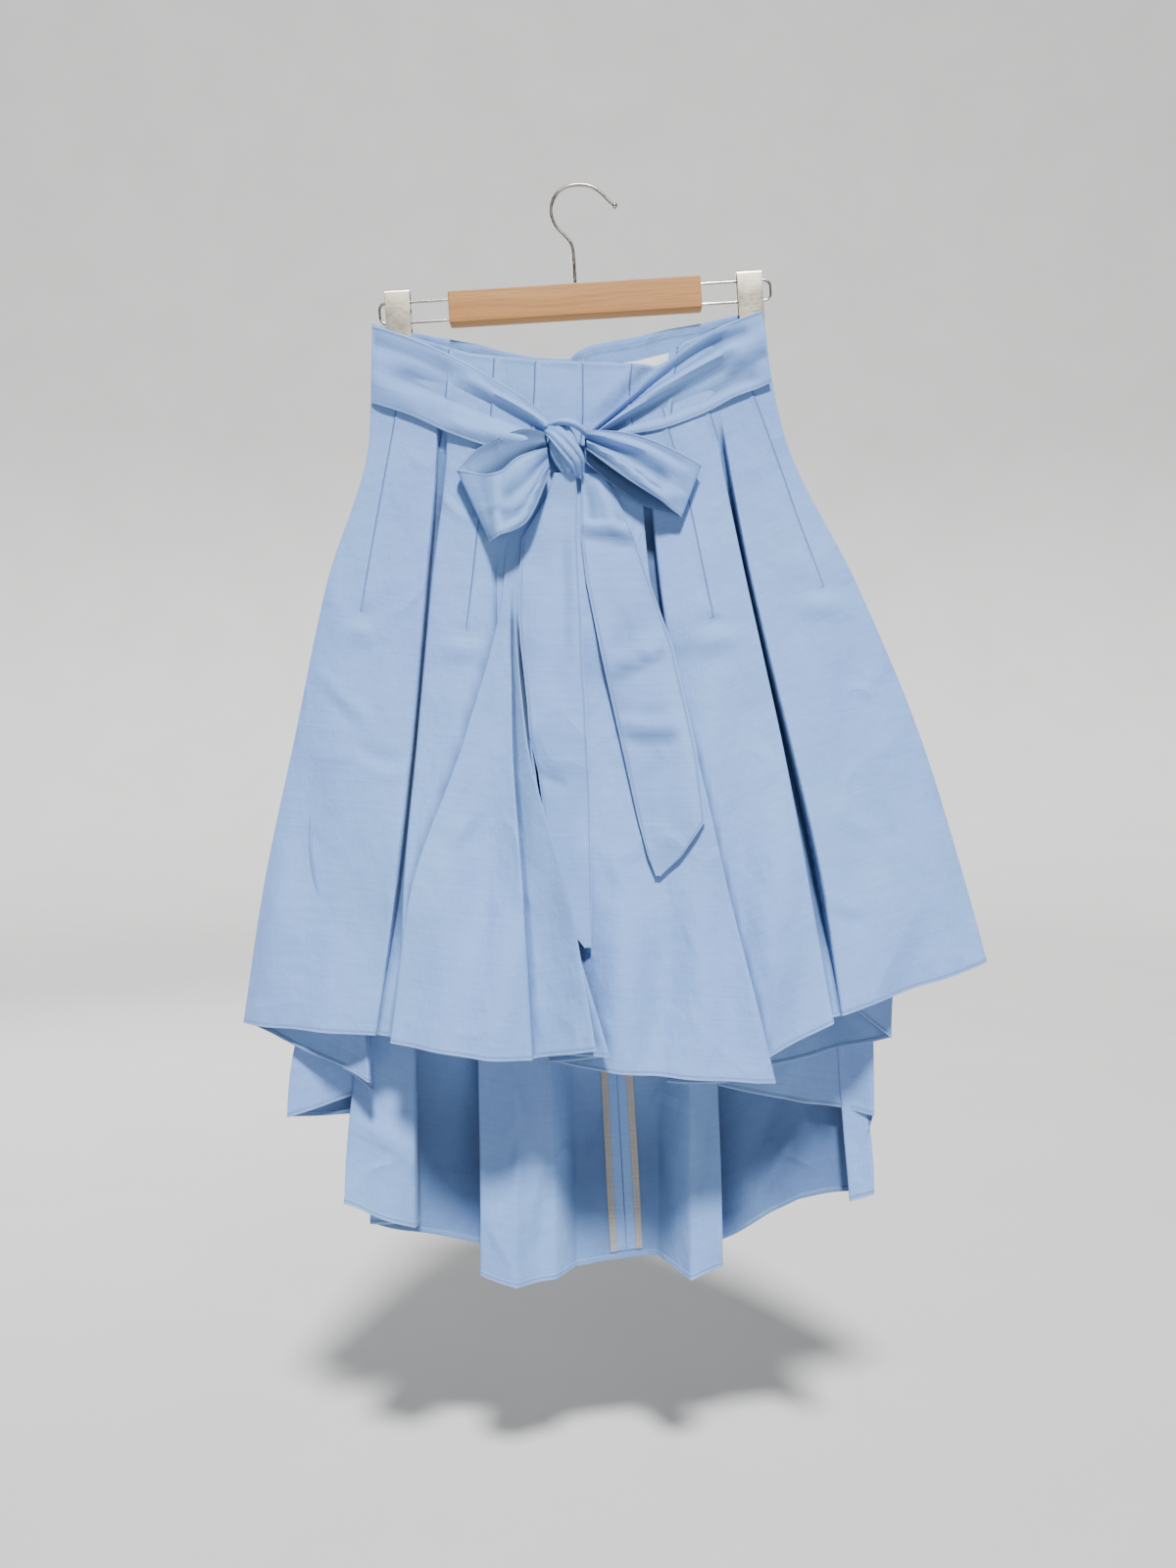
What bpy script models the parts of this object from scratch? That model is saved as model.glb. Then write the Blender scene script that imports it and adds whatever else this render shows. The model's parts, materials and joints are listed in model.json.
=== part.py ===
"""High-low pleated skirt with a ribbon tied in a bow, clipped to a wooden hanger.

The skirt hangs flat on its hanger: +X is the viewer's right, the front faces -Y and +Z is up.
Heights are drawn in millimetres below the top of the hook.  Everything is then raised by
SEAT_DROP, so the origin is the point under the hook's crown where a rail carries it.
"""
from collections import namedtuple
import math

import bpy
import numpy as np
from mathutils import Vector
from mathutils.bvhtree import BVHTree

# ------------------------------------------------------------------ driving sizes, millimetres
SEAT_DROP = 3.0          # hook wire thickness: from the top of the hook to the seat under its crown
CLOTH = 1.1              # wall of the skirt cloth
RIBBON = 1.2             # wall of the doubled ribbon
SEAM_GAP = 0.3           # left between two pieces where they are sewn
# Cloth rings, from 0 at the waist edge to 1 at the hem: closer where the folds at the back open.
RINGS = (0, 0.06, 0.12, 0.17, 0.205, 0.24, 0.285, 0.33, 0.375, 0.42, 0.47, 0.53, 0.59, 0.635, 0.655,
         0.69, 0.73, 0.78, 0.84, 0.92, 1)

SHUT_SPACING = 0.9       # half the distance between the two lines of a fold where it is shut

WAIST_Z = -215.0         # lower edge of the waist, where the flare begins
LEVELS = (-130.0, WAIST_Z, -345.0, -475.0, -605.0)   # heights of the section columns below
FLARE_DROP = 540.0       # height over which the flare reaches the depths below
HIP_SOFTNESS = 30.0      # height over which the flat waist eases into the flare
WAIST_DEPTH = 6.0        # half depth of the flat waist
FRONT_DEPTH, BACK_DEPTH = 72.0, 44.0                 # further half depth at the hem
TOP_NARROWING = 335.0 / 354.0                        # waist edge width over waist width
WAIST_LEFT = -180.0

# Every fold, in order round the skirt: left edge, front, right edge, back, and left again.
# course: "follow" runs through its own x at every level; "late" keeps to its shut course down to
# where it opens, and then eases over to hem_x.  waist..knee: x at the four lower LEVELS.
# hem_x, hem_z: its end on the hem.  opens: height where it opens.  inset_in, inset_out: how far
# inside the plain flare the cloth comes in and leaves (a turned fold has two values).
# soft: rounding.  cuts: further columns of points after it.
Fold = namedtuple("Fold", "name face course waist hip thigh knee hem_x hem_z opens "
                          "inset_in inset_out soft cuts")
FOLDS = [Fold(*row) for row in (
    #                                   waist   hip thigh  knee hem_x hem_z opens  in out soft cuts
    ("left edge front",   "F", "follow", -180, -217, -244, -271, -288, -719, -150, -2, -2,  2, 3),
    ("left pleat roll",   "F", "follow", -122, -131, -141, -158, -172, -723, -224,  4, 14,  5, 0),
    ("left pleat inner",  "F", "follow", -118, -106, -110, -116, -126, -727, -224, 14, 11,  3, 0),
    ("left pleat edge",   "F", "follow", -114, -126, -137, -146, -149, -727, -224, 11,  8,  3, 1),
    ("drape inner",       "F", "follow",  -62,  -70,  -66,  -90, -105, -730, -335,  8,  4,  3, 1),
    ("drape edge",        "F", "follow",  -58,  -64,  -95, -139, -155, -727, -335,  4,  0,  3, 1),
    ("drape swell",       "F", "follow",  -54,  -61,  -72,  -76,  -75, -736, -335,  0,  0, 15, 0),
    ("centre valley",     "F", "follow",  -50,  -58,  -56,  -46,  -38, -738, -380,  3,  3,  6, 1),
    ("centre cone edge",  "F", "follow",  -46,  -55,  -44,   -9,   13, -725, -400,-11, -6,  3, 0),
    ("cone inner",        "F", "follow",  -42,  -52,  -48,  -39,  -32, -735, -400,  7, 12,  3, 0),
    ("second cone edge",  "F", "follow",  -38,  -49,  -41,  -14,   24, -732, -490, -1,  4,  3, 0),
    ("second inner",      "F", "follow",  -34,  -45,  -37,  -33,  -25, -744, -490, 15, 23,  3, 0),
    ("right swell",       "F", "follow",    0,    0,   10,   25,   40, -750, -420,  6,  6, 20, 2),
    ("broad pleat edge",  "F", "follow",   48,   61,   92,  122,  158, -756, -295,  0,  4,  3, 1),
    ("broad pleat inner", "F", "follow",   52,   58,   66,   68,   72, -758, -295, 11, 16,  3, 2),
    ("right pleat edge",  "F", "follow",  116,  141,  168,  190,  207, -710, -240,  4,  8,  3, 0),
    ("right pleat inner", "F", "follow",  120,  130,  150,  168,  184, -712, -240,  9, 13,  3, 0),
    ("right pleat roll",  "F", "follow",  124,  147,  178,  207,  224, -703, -240, 13,  2,  5, 3),
    ("right edge front",  "F", "follow",  174,  237,  291,  331,  348, -667, -150, -2, -2,  2, 0),
    ("right edge back",   "B", "follow",  174,  237,  291,  331,  348, -667, -150, -2, -2,  2, 1),
    ("right back roll",   "B", "late",    166,  228,  280,  314,  277, -690, -520, 28, 28, 10, 0),
    ("hidden turn",       "B", "late",    158,  219,  269,  304,  226, -700, -520, 34, 29,  3, 0),
    ("corner edge",       "B", "late",    149,  208,  256,  288,  267, -733, -520, 26, 21,  3, 2),
    ("long inner turn",   "B", "late",    139,  195,  240,  268,  100, -778, -495, 24, 19,  3, 1),
    ("second corner",     "B", "late",    127,  180,  222,  248,  256, -804, -520, 14,  9,  3, 0),
    ("tube left edge",    "B", "follow",  114,  164,  202,  214,  243, -880, -520, 11,  7,  3, 0),
    ("tube right edge",   "B", "late",    100,  146,  182,  206,  257, -873, -520,  5,  0,  3, 1),
    ("lifted hem corner", "B", "late",     84,  120,  150,  172,  195, -886, -520,  0,  0, 14, 1),
    ("right flute edge",  "B", "late",     62,   85,  104,  116,  127, -938, -560,  2, 20,  6, 0),
    ("right flute crest", "B", "late",     50,   70,   86,   94,   97, -951, -560, 24, 24, 10, 0),
    ("right flute foot",  "B", "late",     38,   52,   64,   68,   68, -943, -560,  1,  1, 10, 0),
    ("centre back",       "B", "follow",   -3,    5,   14,   22,   42, -945, -600,  0,  0,  0, 1),
    ("left flute foot",   "B", "late",    -24,  -22,  -18,  -10,   -4, -949, -600,  3,  3,  8, 0),
    ("left flute side",   "B", "late",    -34,  -36,  -34,  -30,  -19, -952, -600, 22, 22,  8, 0),
    ("left flute crest",  "B", "late",    -46,  -52,  -56,  -58,  -53, -954, -600, 34, 34, 12, 0),
    ("left flute edge",   "B", "late",    -58,  -70,  -80,  -84,  -81, -947, -600, 25, 25,  5, 0),
    ("left flute root",   "B", "late",    -66,  -80,  -92,  -98,  -90, -933, -600,  1,  1,  5, 1),
    ("left back turn",    "B", "late",    -90, -108, -124, -136, -186, -904, -520,  0,  5,  3, 0),
    ("flap right edge",   "B", "late",   -102, -122, -140, -153, -146, -900, -520, 11, 16,  3, 0),
    ("flap left edge",    "B", "late",   -114, -136, -156, -170, -200, -876, -520, 10, 14,  3, 0),
    ("sliver inner",      "B", "late",   -126, -150, -172, -187, -143, -847, -520, 22, 28,  3, 1),
    ("left corner edge",  "B", "late",   -138, -164, -186, -200, -251, -801, -520, 12, 17,  3, 1),
    ("curl inner",        "B", "late",   -148, -176, -198, -212, -180, -780, -520, 26, 30,  3, 0),
    ("curl left edge",    "B", "late",   -158, -187, -209, -224, -203, -758, -520, 34, 38,  3, 0),
    ("curl right edge",   "B", "late",   -166, -197, -220, -236, -177, -766, -520, 50, 58,  3, 1),
    ("left back roll",    "B", "late",   -173, -207, -232, -252, -262, -728, -520, 12, 12, 10, 0),
    ("left edge back",    "B", "follow", -180, -217, -244, -271, -288, -719, -150, -2, -2,  2, 0),
)]

# Waist edge heights: x, z from left to right.
FRONT_EDGE = ((-178, -121), (-140, -134), (-94, -148), (-38, -154), (23, -156), (61, -158),
              (74, -153), (87, -138), (107, -131), (133, -121), (157, -110))
BACK_EDGE_LEFT = ((-178, -121), (-141, -128), (-86, -137), (-69, -142), (-40, -148), (0, -149))
BACK_EDGE_RIGHT = ((-6, -144), (7, -137), (24, -134), (49, -130), (74, -124), (100, -120),
                   (134, -113), (157, -110))

# Ribbon pieces: upper edge x, z, lower edge x, z and how far in front of the plain skirt.
Station = namedtuple("Station", "ux uz lx lz off")
BAND_LEFT = [Station(*r) for r in (
    (-177, -124, -178, -190, 4.0), (-168, -127, -169, -193, 5.6), (-142, -136, -143, -202, 4.1),
    (-110, -150, -112, -216, 1.9), (-76, -169, -85, -226, 1.8), (-43, -190, -54, -233, 2.5),
    (-27, -204, -31, -238, 4.0))]
BAND_RIGHT = [Station(*r) for r in (
    (155, -112, 163, -173, 6.6), (146, -115, 152, -178, 5.6), (131, -121, 131, -186, 4.7),
    (106, -133, 106, -199, 1.9), (73, -157, 69, -213, 1.8), (36, -191, 33, -220, 2.5),
    (8, -217, 8, -231, 4.0))]
LOOP_LEFT = [Station(*r) for r in (
    (-28, -220, -28, -242, 10), (-51, -215, -47, -272, 6.1), (-84, -229, -67, -301, 4.6),
    (-100, -244, -73, -308, 5), (-104, -250, -75, -312, 7.5), (-98, -252, -72, -312, 11),
    (-71, -257, -59, -309, 15), (-51, -243, -43, -298, 17), (-28, -234, -25, -255, 16))]
LOOP_RIGHT = [Station(*r) for r in (
    (4, -224, 4, -245, 11), (44, -229, 46, -277, 6.5), (90, -241, 78, -288, 5.5),
    (100, -246, 84, -291, 7), (99, -245, 83, -290, 10), (72, -232, 66, -279, 14),
    (40, -222, 37, -260, 17), (5, -219, 6, -236, 17))]

# Hanging tails: height, left edge x, right edge x and how deep a tail may sink into a fold.
Hang = namedtuple("Hang", "z left right tuck")
TAIL_LEFT = [Hang(*r) for r in (
    (-254, -22, -4, -8), (-276, -29, -2, -3), (-309, -49, -2, 0), (-345, -51, 0, 0), (-380, -51, 2, 0),
    (-400, -49.4, 2.5, 0), (-420, -46.8, 3, 0), (-450, -43.4, 5, 0), (-475, -41.5, 6, 0),
    (-505, -34.5, 7.5, 4), (-530, -31, 8.5, 8), (-570, -25, 9, 10), (-620, -20, 10, 11),
    (-648, 4, 9.5, 11))]
TAIL_RIGHT = [Hang(*r) for r in (
    (-253, 1, 19, -2), (-285, 1, 36, 0), (-309, 1, 46, 9), (-345, 5, 58, 9), (-400, 16, 77, 9),
    (-450, 27, 88, 9), (-490, 36, 96, 9), (-545, 48, 102, 9), (-575, 56, 82, 9), (-590, 62, 66, 9))]

KNOT_CENTRE = (-12.0, -23.5, -232.0)
KNOT_HALF = (18.6, 11.0, 22.5)

# Hanger
TILT = math.radians(3.6)
BAR_CENTRE = (-4.5, 0.0, -102.0)
BAR_SIZE = (216.0, 14.0, 27.5)
WIRE_HOOK, WIRE_RAIL = 1.5, 1.2          # wire radii
HOOK_PATH = ((-4.4, -87.3), (-6.3, -58), (-8.8, -50.5), (-15, -43.5), (-21, -37), (-25, -27),
             (-24.5, -18), (-19.5, -8.5), (-11, -3), (0, -1.5), (9.5, -3.2), (17.5, -8.5),
             (23, -14), (27, -17.8))
BALL = (29.3, -19.6, 2.6)
RAIL_REACH = 60.0                        # how far each rail stands out of the bar
RAIL_PITCH = 17.5                        # between the two wires of a rail
CLIP_SIZE = (21.0, 50.0)                 # width and height
CLIP_PLATE, CLIP_HALF = 1.3, 4.5         # plate thickness and half gap between the jaws
CLIP_LEFT, CLIP_RIGHT = (-156.7, -92.5), (144.0, -76.0)   # top centre x, z

LABEL_X, LABEL_DROP, LABEL_HEIGHT, LABEL_WALL = (37.0, 83.0), 13.0, 24.0, 0.6
BINDING_FROM, BINDING_WIDTH, BINDING_WALL = 10.0, 6.5, 0.7

COLOURS = {
    "cloth": (0.47, 0.62, 0.82), "label": (0.92, 0.92, 0.90), "binding": (0.70, 0.62, 0.52),
    "wood": (0.66, 0.42, 0.24), "metal": (0.72, 0.70, 0.66),
}


# ------------------------------------------------------------------ small helpers
def smooth(t):
    """Ease from 0 to 1 as t goes from 0 to 1."""
    t = np.clip(t, 0.0, 1.0)
    return t * t * (3.0 - 2.0 * t)


def curve_through(heights, values, z):
    """Value at height z of the smooth curve through the given heights, which fall."""
    h = -np.asarray(heights, float)
    y = np.asarray(values, float)
    t = min(max(-z, h[0]), h[-1])
    d = np.diff(y) / np.diff(h)
    slope = np.empty(len(y))
    slope[0], slope[-1] = d[0], d[-1]
    for i in range(1, len(y) - 1):
        slope[i] = 0.0 if d[i - 1] * d[i] <= 0 else 2 * d[i - 1] * d[i] / (d[i - 1] + d[i])
    i = min(int(np.searchsorted(h, t, side="right")) - 1, len(h) - 2)
    w = h[i + 1] - h[i]
    u = (t - h[i]) / w
    return ((1 + 2 * u) * (1 - u) ** 2 * y[i] + u * (1 - u) ** 2 * w * slope[i]
            + u * u * (3 - 2 * u) * y[i + 1] + u * u * (u - 1) * w * slope[i + 1])


def top_x(waist_x):
    """x on the waist edge of a line that stands at waist_x at the waist's lower edge."""
    return WAIST_LEFT + 2 + (waist_x - WAIST_LEFT) * TOP_NARROWING


def fold_x(fold, z):
    """x of a fold at height z."""
    values = (top_x(fold.waist), fold.waist, fold.hip, fold.thigh, fold.knee)
    if fold.course == "follow":
        return curve_through(LEVELS + (fold.hem_z,), values + (fold.hem_x,), z)
    below = min(max((fold.opens - z) / (fold.opens - fold.hem_z), 0), 1)
    shut = curve_through(LEVELS, values, z)
    return shut + (fold.hem_x - shut) * smooth(below)


def plain_y(face, x, z):
    """Depth of the plain flared skirt, without folds, at x and z."""
    left, right = fold_x(FOLDS[0], z), fold_x(SIDE_RIGHT, z)
    across = (x - (left + right) / 2) / ((right - left) / 2)
    lens = max(0.0, 1.0 - across * across) ** 0.8
    drop = WAIST_Z - z
    flare = (drop + math.hypot(drop, HIP_SOFTNESS)) / 2 / FLARE_DROP
    if face == "F":
        return -(WAIST_DEPTH + FRONT_DEPTH * flare) * lens
    return (WAIST_DEPTH + BACK_DEPTH * flare) * lens


SIDE_RIGHT = next(f for f in FOLDS if f.name == "right edge front")


def loosened(fold, z):
    """0 where a fold is shut, 1 from just below the height where it opens."""
    return smooth((fold.opens + 35 - z) / 50)


def opened(fold, z):
    """How far a fold has opened at height z: 0 above it, 1 at the hem."""
    slow = np.clip((fold.opens - z) / (fold.opens - fold.hem_z), 0, 1)
    early = 0.65 if fold.face == "F" else 0.3
    return early * loosened(fold, z) + (1 - early) * slow


def waist_edge(face, x, left_of_centre):
    """Height of the waist's upper edge at x."""
    edge = FRONT_EDGE if face == "F" else (BACK_EDGE_LEFT if left_of_centre else BACK_EDGE_RIGHT)
    xs, zs = zip(*edge)
    return float(np.interp(x, xs, zs))


# ------------------------------------------------------------------ the skirt's rings
def ring(v, round_points=2, more_cuts=1):
    """One closed cloth ring, v = 0 at the waist edge and 1 at the hem.

    Returns the points in order and the positions of the three seams in it.
    """
    centre_back = next(i for i, f in enumerate(FOLDS) if f.name == "centre back")
    corners = []                    # x, y, z, softness, kind
    for i, fold in enumerate(FOLDS):
        left = i >= centre_back
        top = waist_edge(fold.face, top_x(fold.waist), left)
        z = top + (fold.hem_z - top) * v
        x, amount = fold_x(fold, z), opened(fold, z)
        outward = -1.0 if fold.face == "F" else 1.0
        insets = (fold.inset_in, fold.inset_out)
        if fold.inset_in == fold.inset_out:
            insets = (fold.inset_in,)
        edge = fold.name.startswith(("left edge", "right edge"))
        kinds = ("turn in", "turn out") if len(insets) == 2 else ("bend",)
        if fold.name == "centre back":
            kinds = ("seam",)
        apart = SHUT_SPACING * (1 - loosened(fold, z)) * (len(insets) - 1)
        for inset, way, kind in zip(insets, (outward, -outward), kinds):
            y = plain_y(fold.face, x, z) - outward * inset * (1.0 if edge else amount)
            corners.append((x + way * apart, y, z, fold.soft, kind))
        following = FOLDS[(i + 1) % len(FOLDS)]
        if following.face != fold.face:         # a side seam lies between the two edge lines
            corners.append((x, 0.0, z, 0, "seam"))
            continue
        top_b = waist_edge(following.face, top_x(following.waist), left)
        z_b = top_b + (following.hem_z - top_b) * v
        x_b, amount_b = fold_x(following, z_b), opened(following, z_b)
        edge_b = following.name.startswith(("left edge", "right edge"))
        start = insets[-1] * (1.0 if edge else amount)
        end = following.inset_in * (1.0 if edge_b else amount_b)
        count = fold.cuts * more_cuts + (more_cuts - 1)
        for k in range(1, count + 1):
            t = k / (count + 1)
            xk, zk, inset = x + (x_b - x) * t, z + (z_b - z) * t, start + (end - start) * t
            waist_x = fold.waist + (following.waist - fold.waist) * t
            level = top + (top_b - top) * t
            zk += (waist_edge(fold.face, top_x(waist_x), left) - level) * (1 - v) ** 3
            corners.append((xk, plain_y(fold.face, xk, zk) - outward * inset, zk, 0, "cut"))
    points, seams = [], []
    for i, (x, y, z, soft, kind) in enumerate(corners):
        here = np.array((x, y, z))
        if soft == 0:
            if kind == "seam":
                seams.append(len(points))
            points.append(here)
            continue
        back = np.array(corners[i - 1][:3]) - here
        ahead = np.array(corners[(i + 1) % len(corners)][:3]) - here
        back_run, ahead_run = np.linalg.norm(back), np.linalg.norm(ahead)
        if kind == "turn in":           # rounds into the middle of the turn
            reach = min(soft, 0.45 * back_run, max(0.5 * ahead_run, 0.3))
            a, b = here + back / back_run * reach, here + ahead * 0.5
        elif kind == "turn out":
            reach = min(soft, 0.45 * ahead_run, max(0.5 * back_run, 0.3))
            a, b = here + back * 0.5, here + ahead / ahead_run * reach
        else:
            reach = min(soft, 0.45 * back_run, 0.45 * ahead_run)
            a, b = here + back / back_run * reach, here + ahead / ahead_run * reach
        steps = np.linspace(0, 1, round_points)
        if kind == "turn out":
            steps = steps[1:]           # its first point ends the turn in
        for t in steps:
            points.append((1 - t) ** 2 * a + 2 * t * (1 - t) * here + t * t * b)
    return relaxed(np.array(points)), seams


def relaxed(points, least=1.3):
    """A ring whose points are spread evenly wherever two of them stand closer than the wall allows."""
    for _ in range(2):
        before, after, later = (np.roll(points, k, axis=0) for k in (1, -1, -2))
        gap = np.linalg.norm(after - points, axis=1)
        tight = np.clip((least - gap) / (0.5 * least), 0, 1)[:, None]
        moves = tight * (before + (later - before) / 3 - points)
        partner = tight * (before + (later - before) * 2 / 3 - after)
        points = points + 0.5 * (moves + np.roll(partner, 1, axis=0))
    return points


def skirt_sheet():
    """The whole skirt as rings of points, with the columns of its right, back and left seams."""
    rings = [ring(v) for v in RINGS]
    right, back, left = rings[0][1]
    return np.array([points for points, _ in rings]), right, back, left


def panel(sheet, first, last):
    """The rings from seam column first to seam column last, held back by half a seam gap."""
    count = sheet.shape[1]
    columns = [(first + k) % count for k in range((last - first) % count + 1)]
    part = sheet[:, columns].copy()
    for end, inner in ((0, 1), (-1, -2)):
        step = part[:, inner] - part[:, end]
        part[:, end] += step / np.linalg.norm(step, axis=1)[:, None] * SEAM_GAP / 2
    return part


def sheet_normals(grid):
    """Outward normals of a grid of points, rows downwards and columns anticlockwise."""
    step = np.diff(grid, axis=1)
    step /= np.maximum(np.linalg.norm(step, axis=2), 1.0)[:, :, None]
    along = np.concatenate((step[:, :1], step[:, :-1] + step[:, 1:], step[:, -1:]), axis=1)
    down = np.gradient(grid, axis=0)
    normals = np.cross(down, along)
    return normals / np.maximum(np.linalg.norm(normals, axis=2), 1e-9)[:, :, None]


def walled(grid, wall, shift=0.0):
    """Points and triangles of a closed wall about a grid, moved outwards by shift."""
    rows, columns = grid.shape[:2]
    normals = sheet_normals(grid)
    outer = (grid + normals * (shift + wall / 2)).reshape(-1, 3)
    inner = (grid + normals * (shift - wall / 2)).reshape(-1, 3)
    points = np.vstack((outer, inner))
    half = rows * columns
    faces = []
    for r in range(rows - 1):
        for c in range(columns - 1):
            a, b = r * columns + c, r * columns + c + 1
            d, e = a + columns, b + columns
            flat = grid.reshape(-1, 3)
            if np.linalg.norm(flat[a] - flat[e]) <= np.linalg.norm(flat[b] - flat[d]):
                outside = ((a, d, e), (a, e, b))
            else:
                outside = ((a, d, b), (b, d, e))
            for face in outside:
                faces.append(face)
                faces.append(tuple(half + i for i in reversed(face)))
    rim = [r * columns for r in range(rows)]
    rim += [(rows - 1) * columns + c for c in range(1, columns)]
    rim += [r * columns + columns - 1 for r in range(rows - 2, -1, -1)]
    rim += list(range(columns - 2, 0, -1))
    for i, a in enumerate(rim):
        b = rim[(i + 1) % len(rim)]
        faces.append((b, a, half + a))
        faces.append((b, half + a, half + b))
    return points, faces


# ------------------------------------------------------------------ ribbon and trimmings
def band_grid(stations, columns=5, bow=0.0):
    """Grid of a ribbon that runs through its stations, bowed forwards across its width."""
    grid = np.empty((columns, len(stations), 3))
    for j, s in enumerate(stations):
        for i in range(columns):
            t = i / (columns - 1)
            x, z = s.ux + (s.lx - s.ux) * t, s.uz + (s.lz - s.uz) * t
            grid[i, j] = (x, plain_y("F", x, z) - s.off - bow * 4 * t * (1 - t), z)
    return grid


def smooth_stations(stations, parts):
    """Stations with parts - 1 further ones between each two, along a smooth line."""
    rows = np.array(stations, float)
    out = []
    last = len(rows) - 1
    for i in range(last):
        p0, p1, p2, p3 = rows[max(i - 1, 0)], rows[i], rows[i + 1], rows[min(i + 2, last)]
        for k in range(parts):
            t = k / parts
            out.append(0.5 * (2 * p1 + (p2 - p0) * t + (2 * p0 - 5 * p1 + 4 * p2 - p3) * t * t
                              + (3 * p1 - p0 - 3 * p2 + p3) * t ** 3))
    out.append(rows[-1])
    return out


def hanging_grid(rows, skin, clearance, columns=7):
    """Grid of a tail laid on the skin surface, clearance in front of all that is beside each point."""
    grid = np.empty((len(rows), columns, 3))
    for i, row in enumerate(rows):
        wide = (row.right - row.left) / (columns - 1)
        high = max(rows[max(i - 1, 0)].z - row.z, row.z - rows[min(i + 1, len(rows) - 1)].z)
        for j in range(columns):
            x = row.left + wide * j
            relief = [row.tuck]
            for dx in (-1.0, -0.5, 0.0, 0.5, 1.0):
                for dz in (-1.0, -0.5, 0.0, 0.5, 1.0):
                    px, pz = x + dx * wide, row.z + dz * high
                    hit = skin.ray_cast(Vector((px, -300.0, pz)), Vector((0, 1, 0)))[0]
                    if hit:
                        relief.append(hit.y - plain_y("F", px, pz))
            grid[i, j] = (x, plain_y("F", x, row.z) + min(relief) - clearance, row.z)
    for _ in range(3):
        grid[1:-1, :, 1] = np.minimum(grid[1:-1, :, 1],
                                      (grid[:-2, :, 1] + grid[1:-1, :, 1] + grid[2:, :, 1]) / 3)
        grid[:, 1:-1, 1] = np.minimum(grid[:, 1:-1, 1],
                                      (grid[:, :-2, 1] + grid[:, 1:-1, 1] + grid[:, 2:, 1]) / 3)
    return grid


def surface_tree(grid):
    """Search tree of a grid of points."""
    rows, columns = grid.shape[:2]
    quads = [(r * columns + c, r * columns + c + 1, (r + 1) * columns + c + 1, (r + 1) * columns + c)
             for r in range(rows - 1) for c in range(columns - 1)]
    return BVHTree.FromPolygons([Vector(p) for p in grid.reshape(-1, 3)], quads)


def beside_seam(sheet, column, step, distances):
    """Grid of points at the given distances along the cloth from a seam column."""
    grid = np.empty((sheet.shape[0], len(distances), 3))
    for r in range(sheet.shape[0]):
        line = [sheet[r, (column + step * k) % sheet.shape[1]] for k in range(12)]
        run = np.concatenate(([0], np.cumsum([np.linalg.norm(b - a) for a, b in zip(line, line[1:])])))
        for j, distance in enumerate(distances):
            grid[r, j] = [np.interp(distance, run, [p[axis] for p in line]) for axis in range(3)]
    return grid


# ------------------------------------------------------------------ Blender objects
def clear_scene():
    """Remove every object that is there at the start."""
    for item in list(bpy.data.objects):
        bpy.data.objects.remove(item, do_unlink=True)


def material(name):
    """Principled material of its own for one object."""
    kind = ("label" if "label" in name else "binding" if "binding" in name else "wood" if "bar" in name
            else "metal" if name.split("_")[0] in ("hanger", "rail", "clip") else "cloth")
    made = bpy.data.materials.new(name)
    made.use_nodes = True
    shader = made.node_tree.nodes["Principled BSDF"]
    shader.inputs["Base Color"].default_value = (*COLOURS[kind], 1)
    shader.inputs["Roughness"].default_value = 0.35 if kind == "metal" else 0.8
    shader.inputs["Metallic"].default_value = 1.0 if kind == "metal" else 0.0
    return made


def add_mesh(name, points, faces, collection, rounded=True):
    """Object from points in millimetres below the hook's top."""
    mesh = bpy.data.meshes.new(name)
    placed = (np.asarray(points) + (0, 0, SEAT_DROP)) / 1000
    mesh.from_pydata([tuple(p) for p in placed], [], faces)
    mesh.update()
    mesh.polygons.foreach_set("use_smooth", [rounded] * len(mesh.polygons))
    made = bpy.data.objects.new(name, mesh)
    made.data.materials.append(material(name))
    collection.objects.link(made)
    return made


def add_wire(name, path, radius, collection, closed=False):
    """Round wire along a path of x, y, z points."""
    data = bpy.data.curves.new(name, "CURVE")
    data.dimensions, data.bevel_depth, data.bevel_resolution = "3D", radius / 1000, 2
    data.use_fill_caps = True
    spline = data.splines.new("POLY")
    spline.points.add(len(path) - 1)
    for point, (x, y, z) in zip(spline.points, path):
        point.co = (x / 1000, y / 1000, (z + SEAT_DROP) / 1000, 1)
    spline.use_cyclic_u = closed
    spline.use_smooth = True
    made = bpy.data.objects.new(name, data)
    data.materials.append(material(name))
    collection.objects.link(made)
    return made


def tilted(x, z, centre=BAR_CENTRE):
    """Point of the hanger's own x, z turned by its tilt about the bar's centre."""
    return (centre[0] + x * math.cos(TILT) - z * math.sin(TILT),
            centre[2] + x * math.sin(TILT) + z * math.cos(TILT))


def add_prism(name, outline, half_depth, collection, rounded=False):
    """Solid between two copies of an x, z outline, given anticlockwise as seen from the front."""
    count = len(outline)
    points = [(x, -half_depth, z) for x, z in outline] + [(x, half_depth, z) for x, z in outline]
    faces = [tuple(range(count)), tuple(reversed(range(count, 2 * count)))]
    faces += [(i, i + count, (i + 1) % count + count, (i + 1) % count) for i in range(count)]
    return add_mesh(name, points, faces, collection, rounded)


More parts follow.
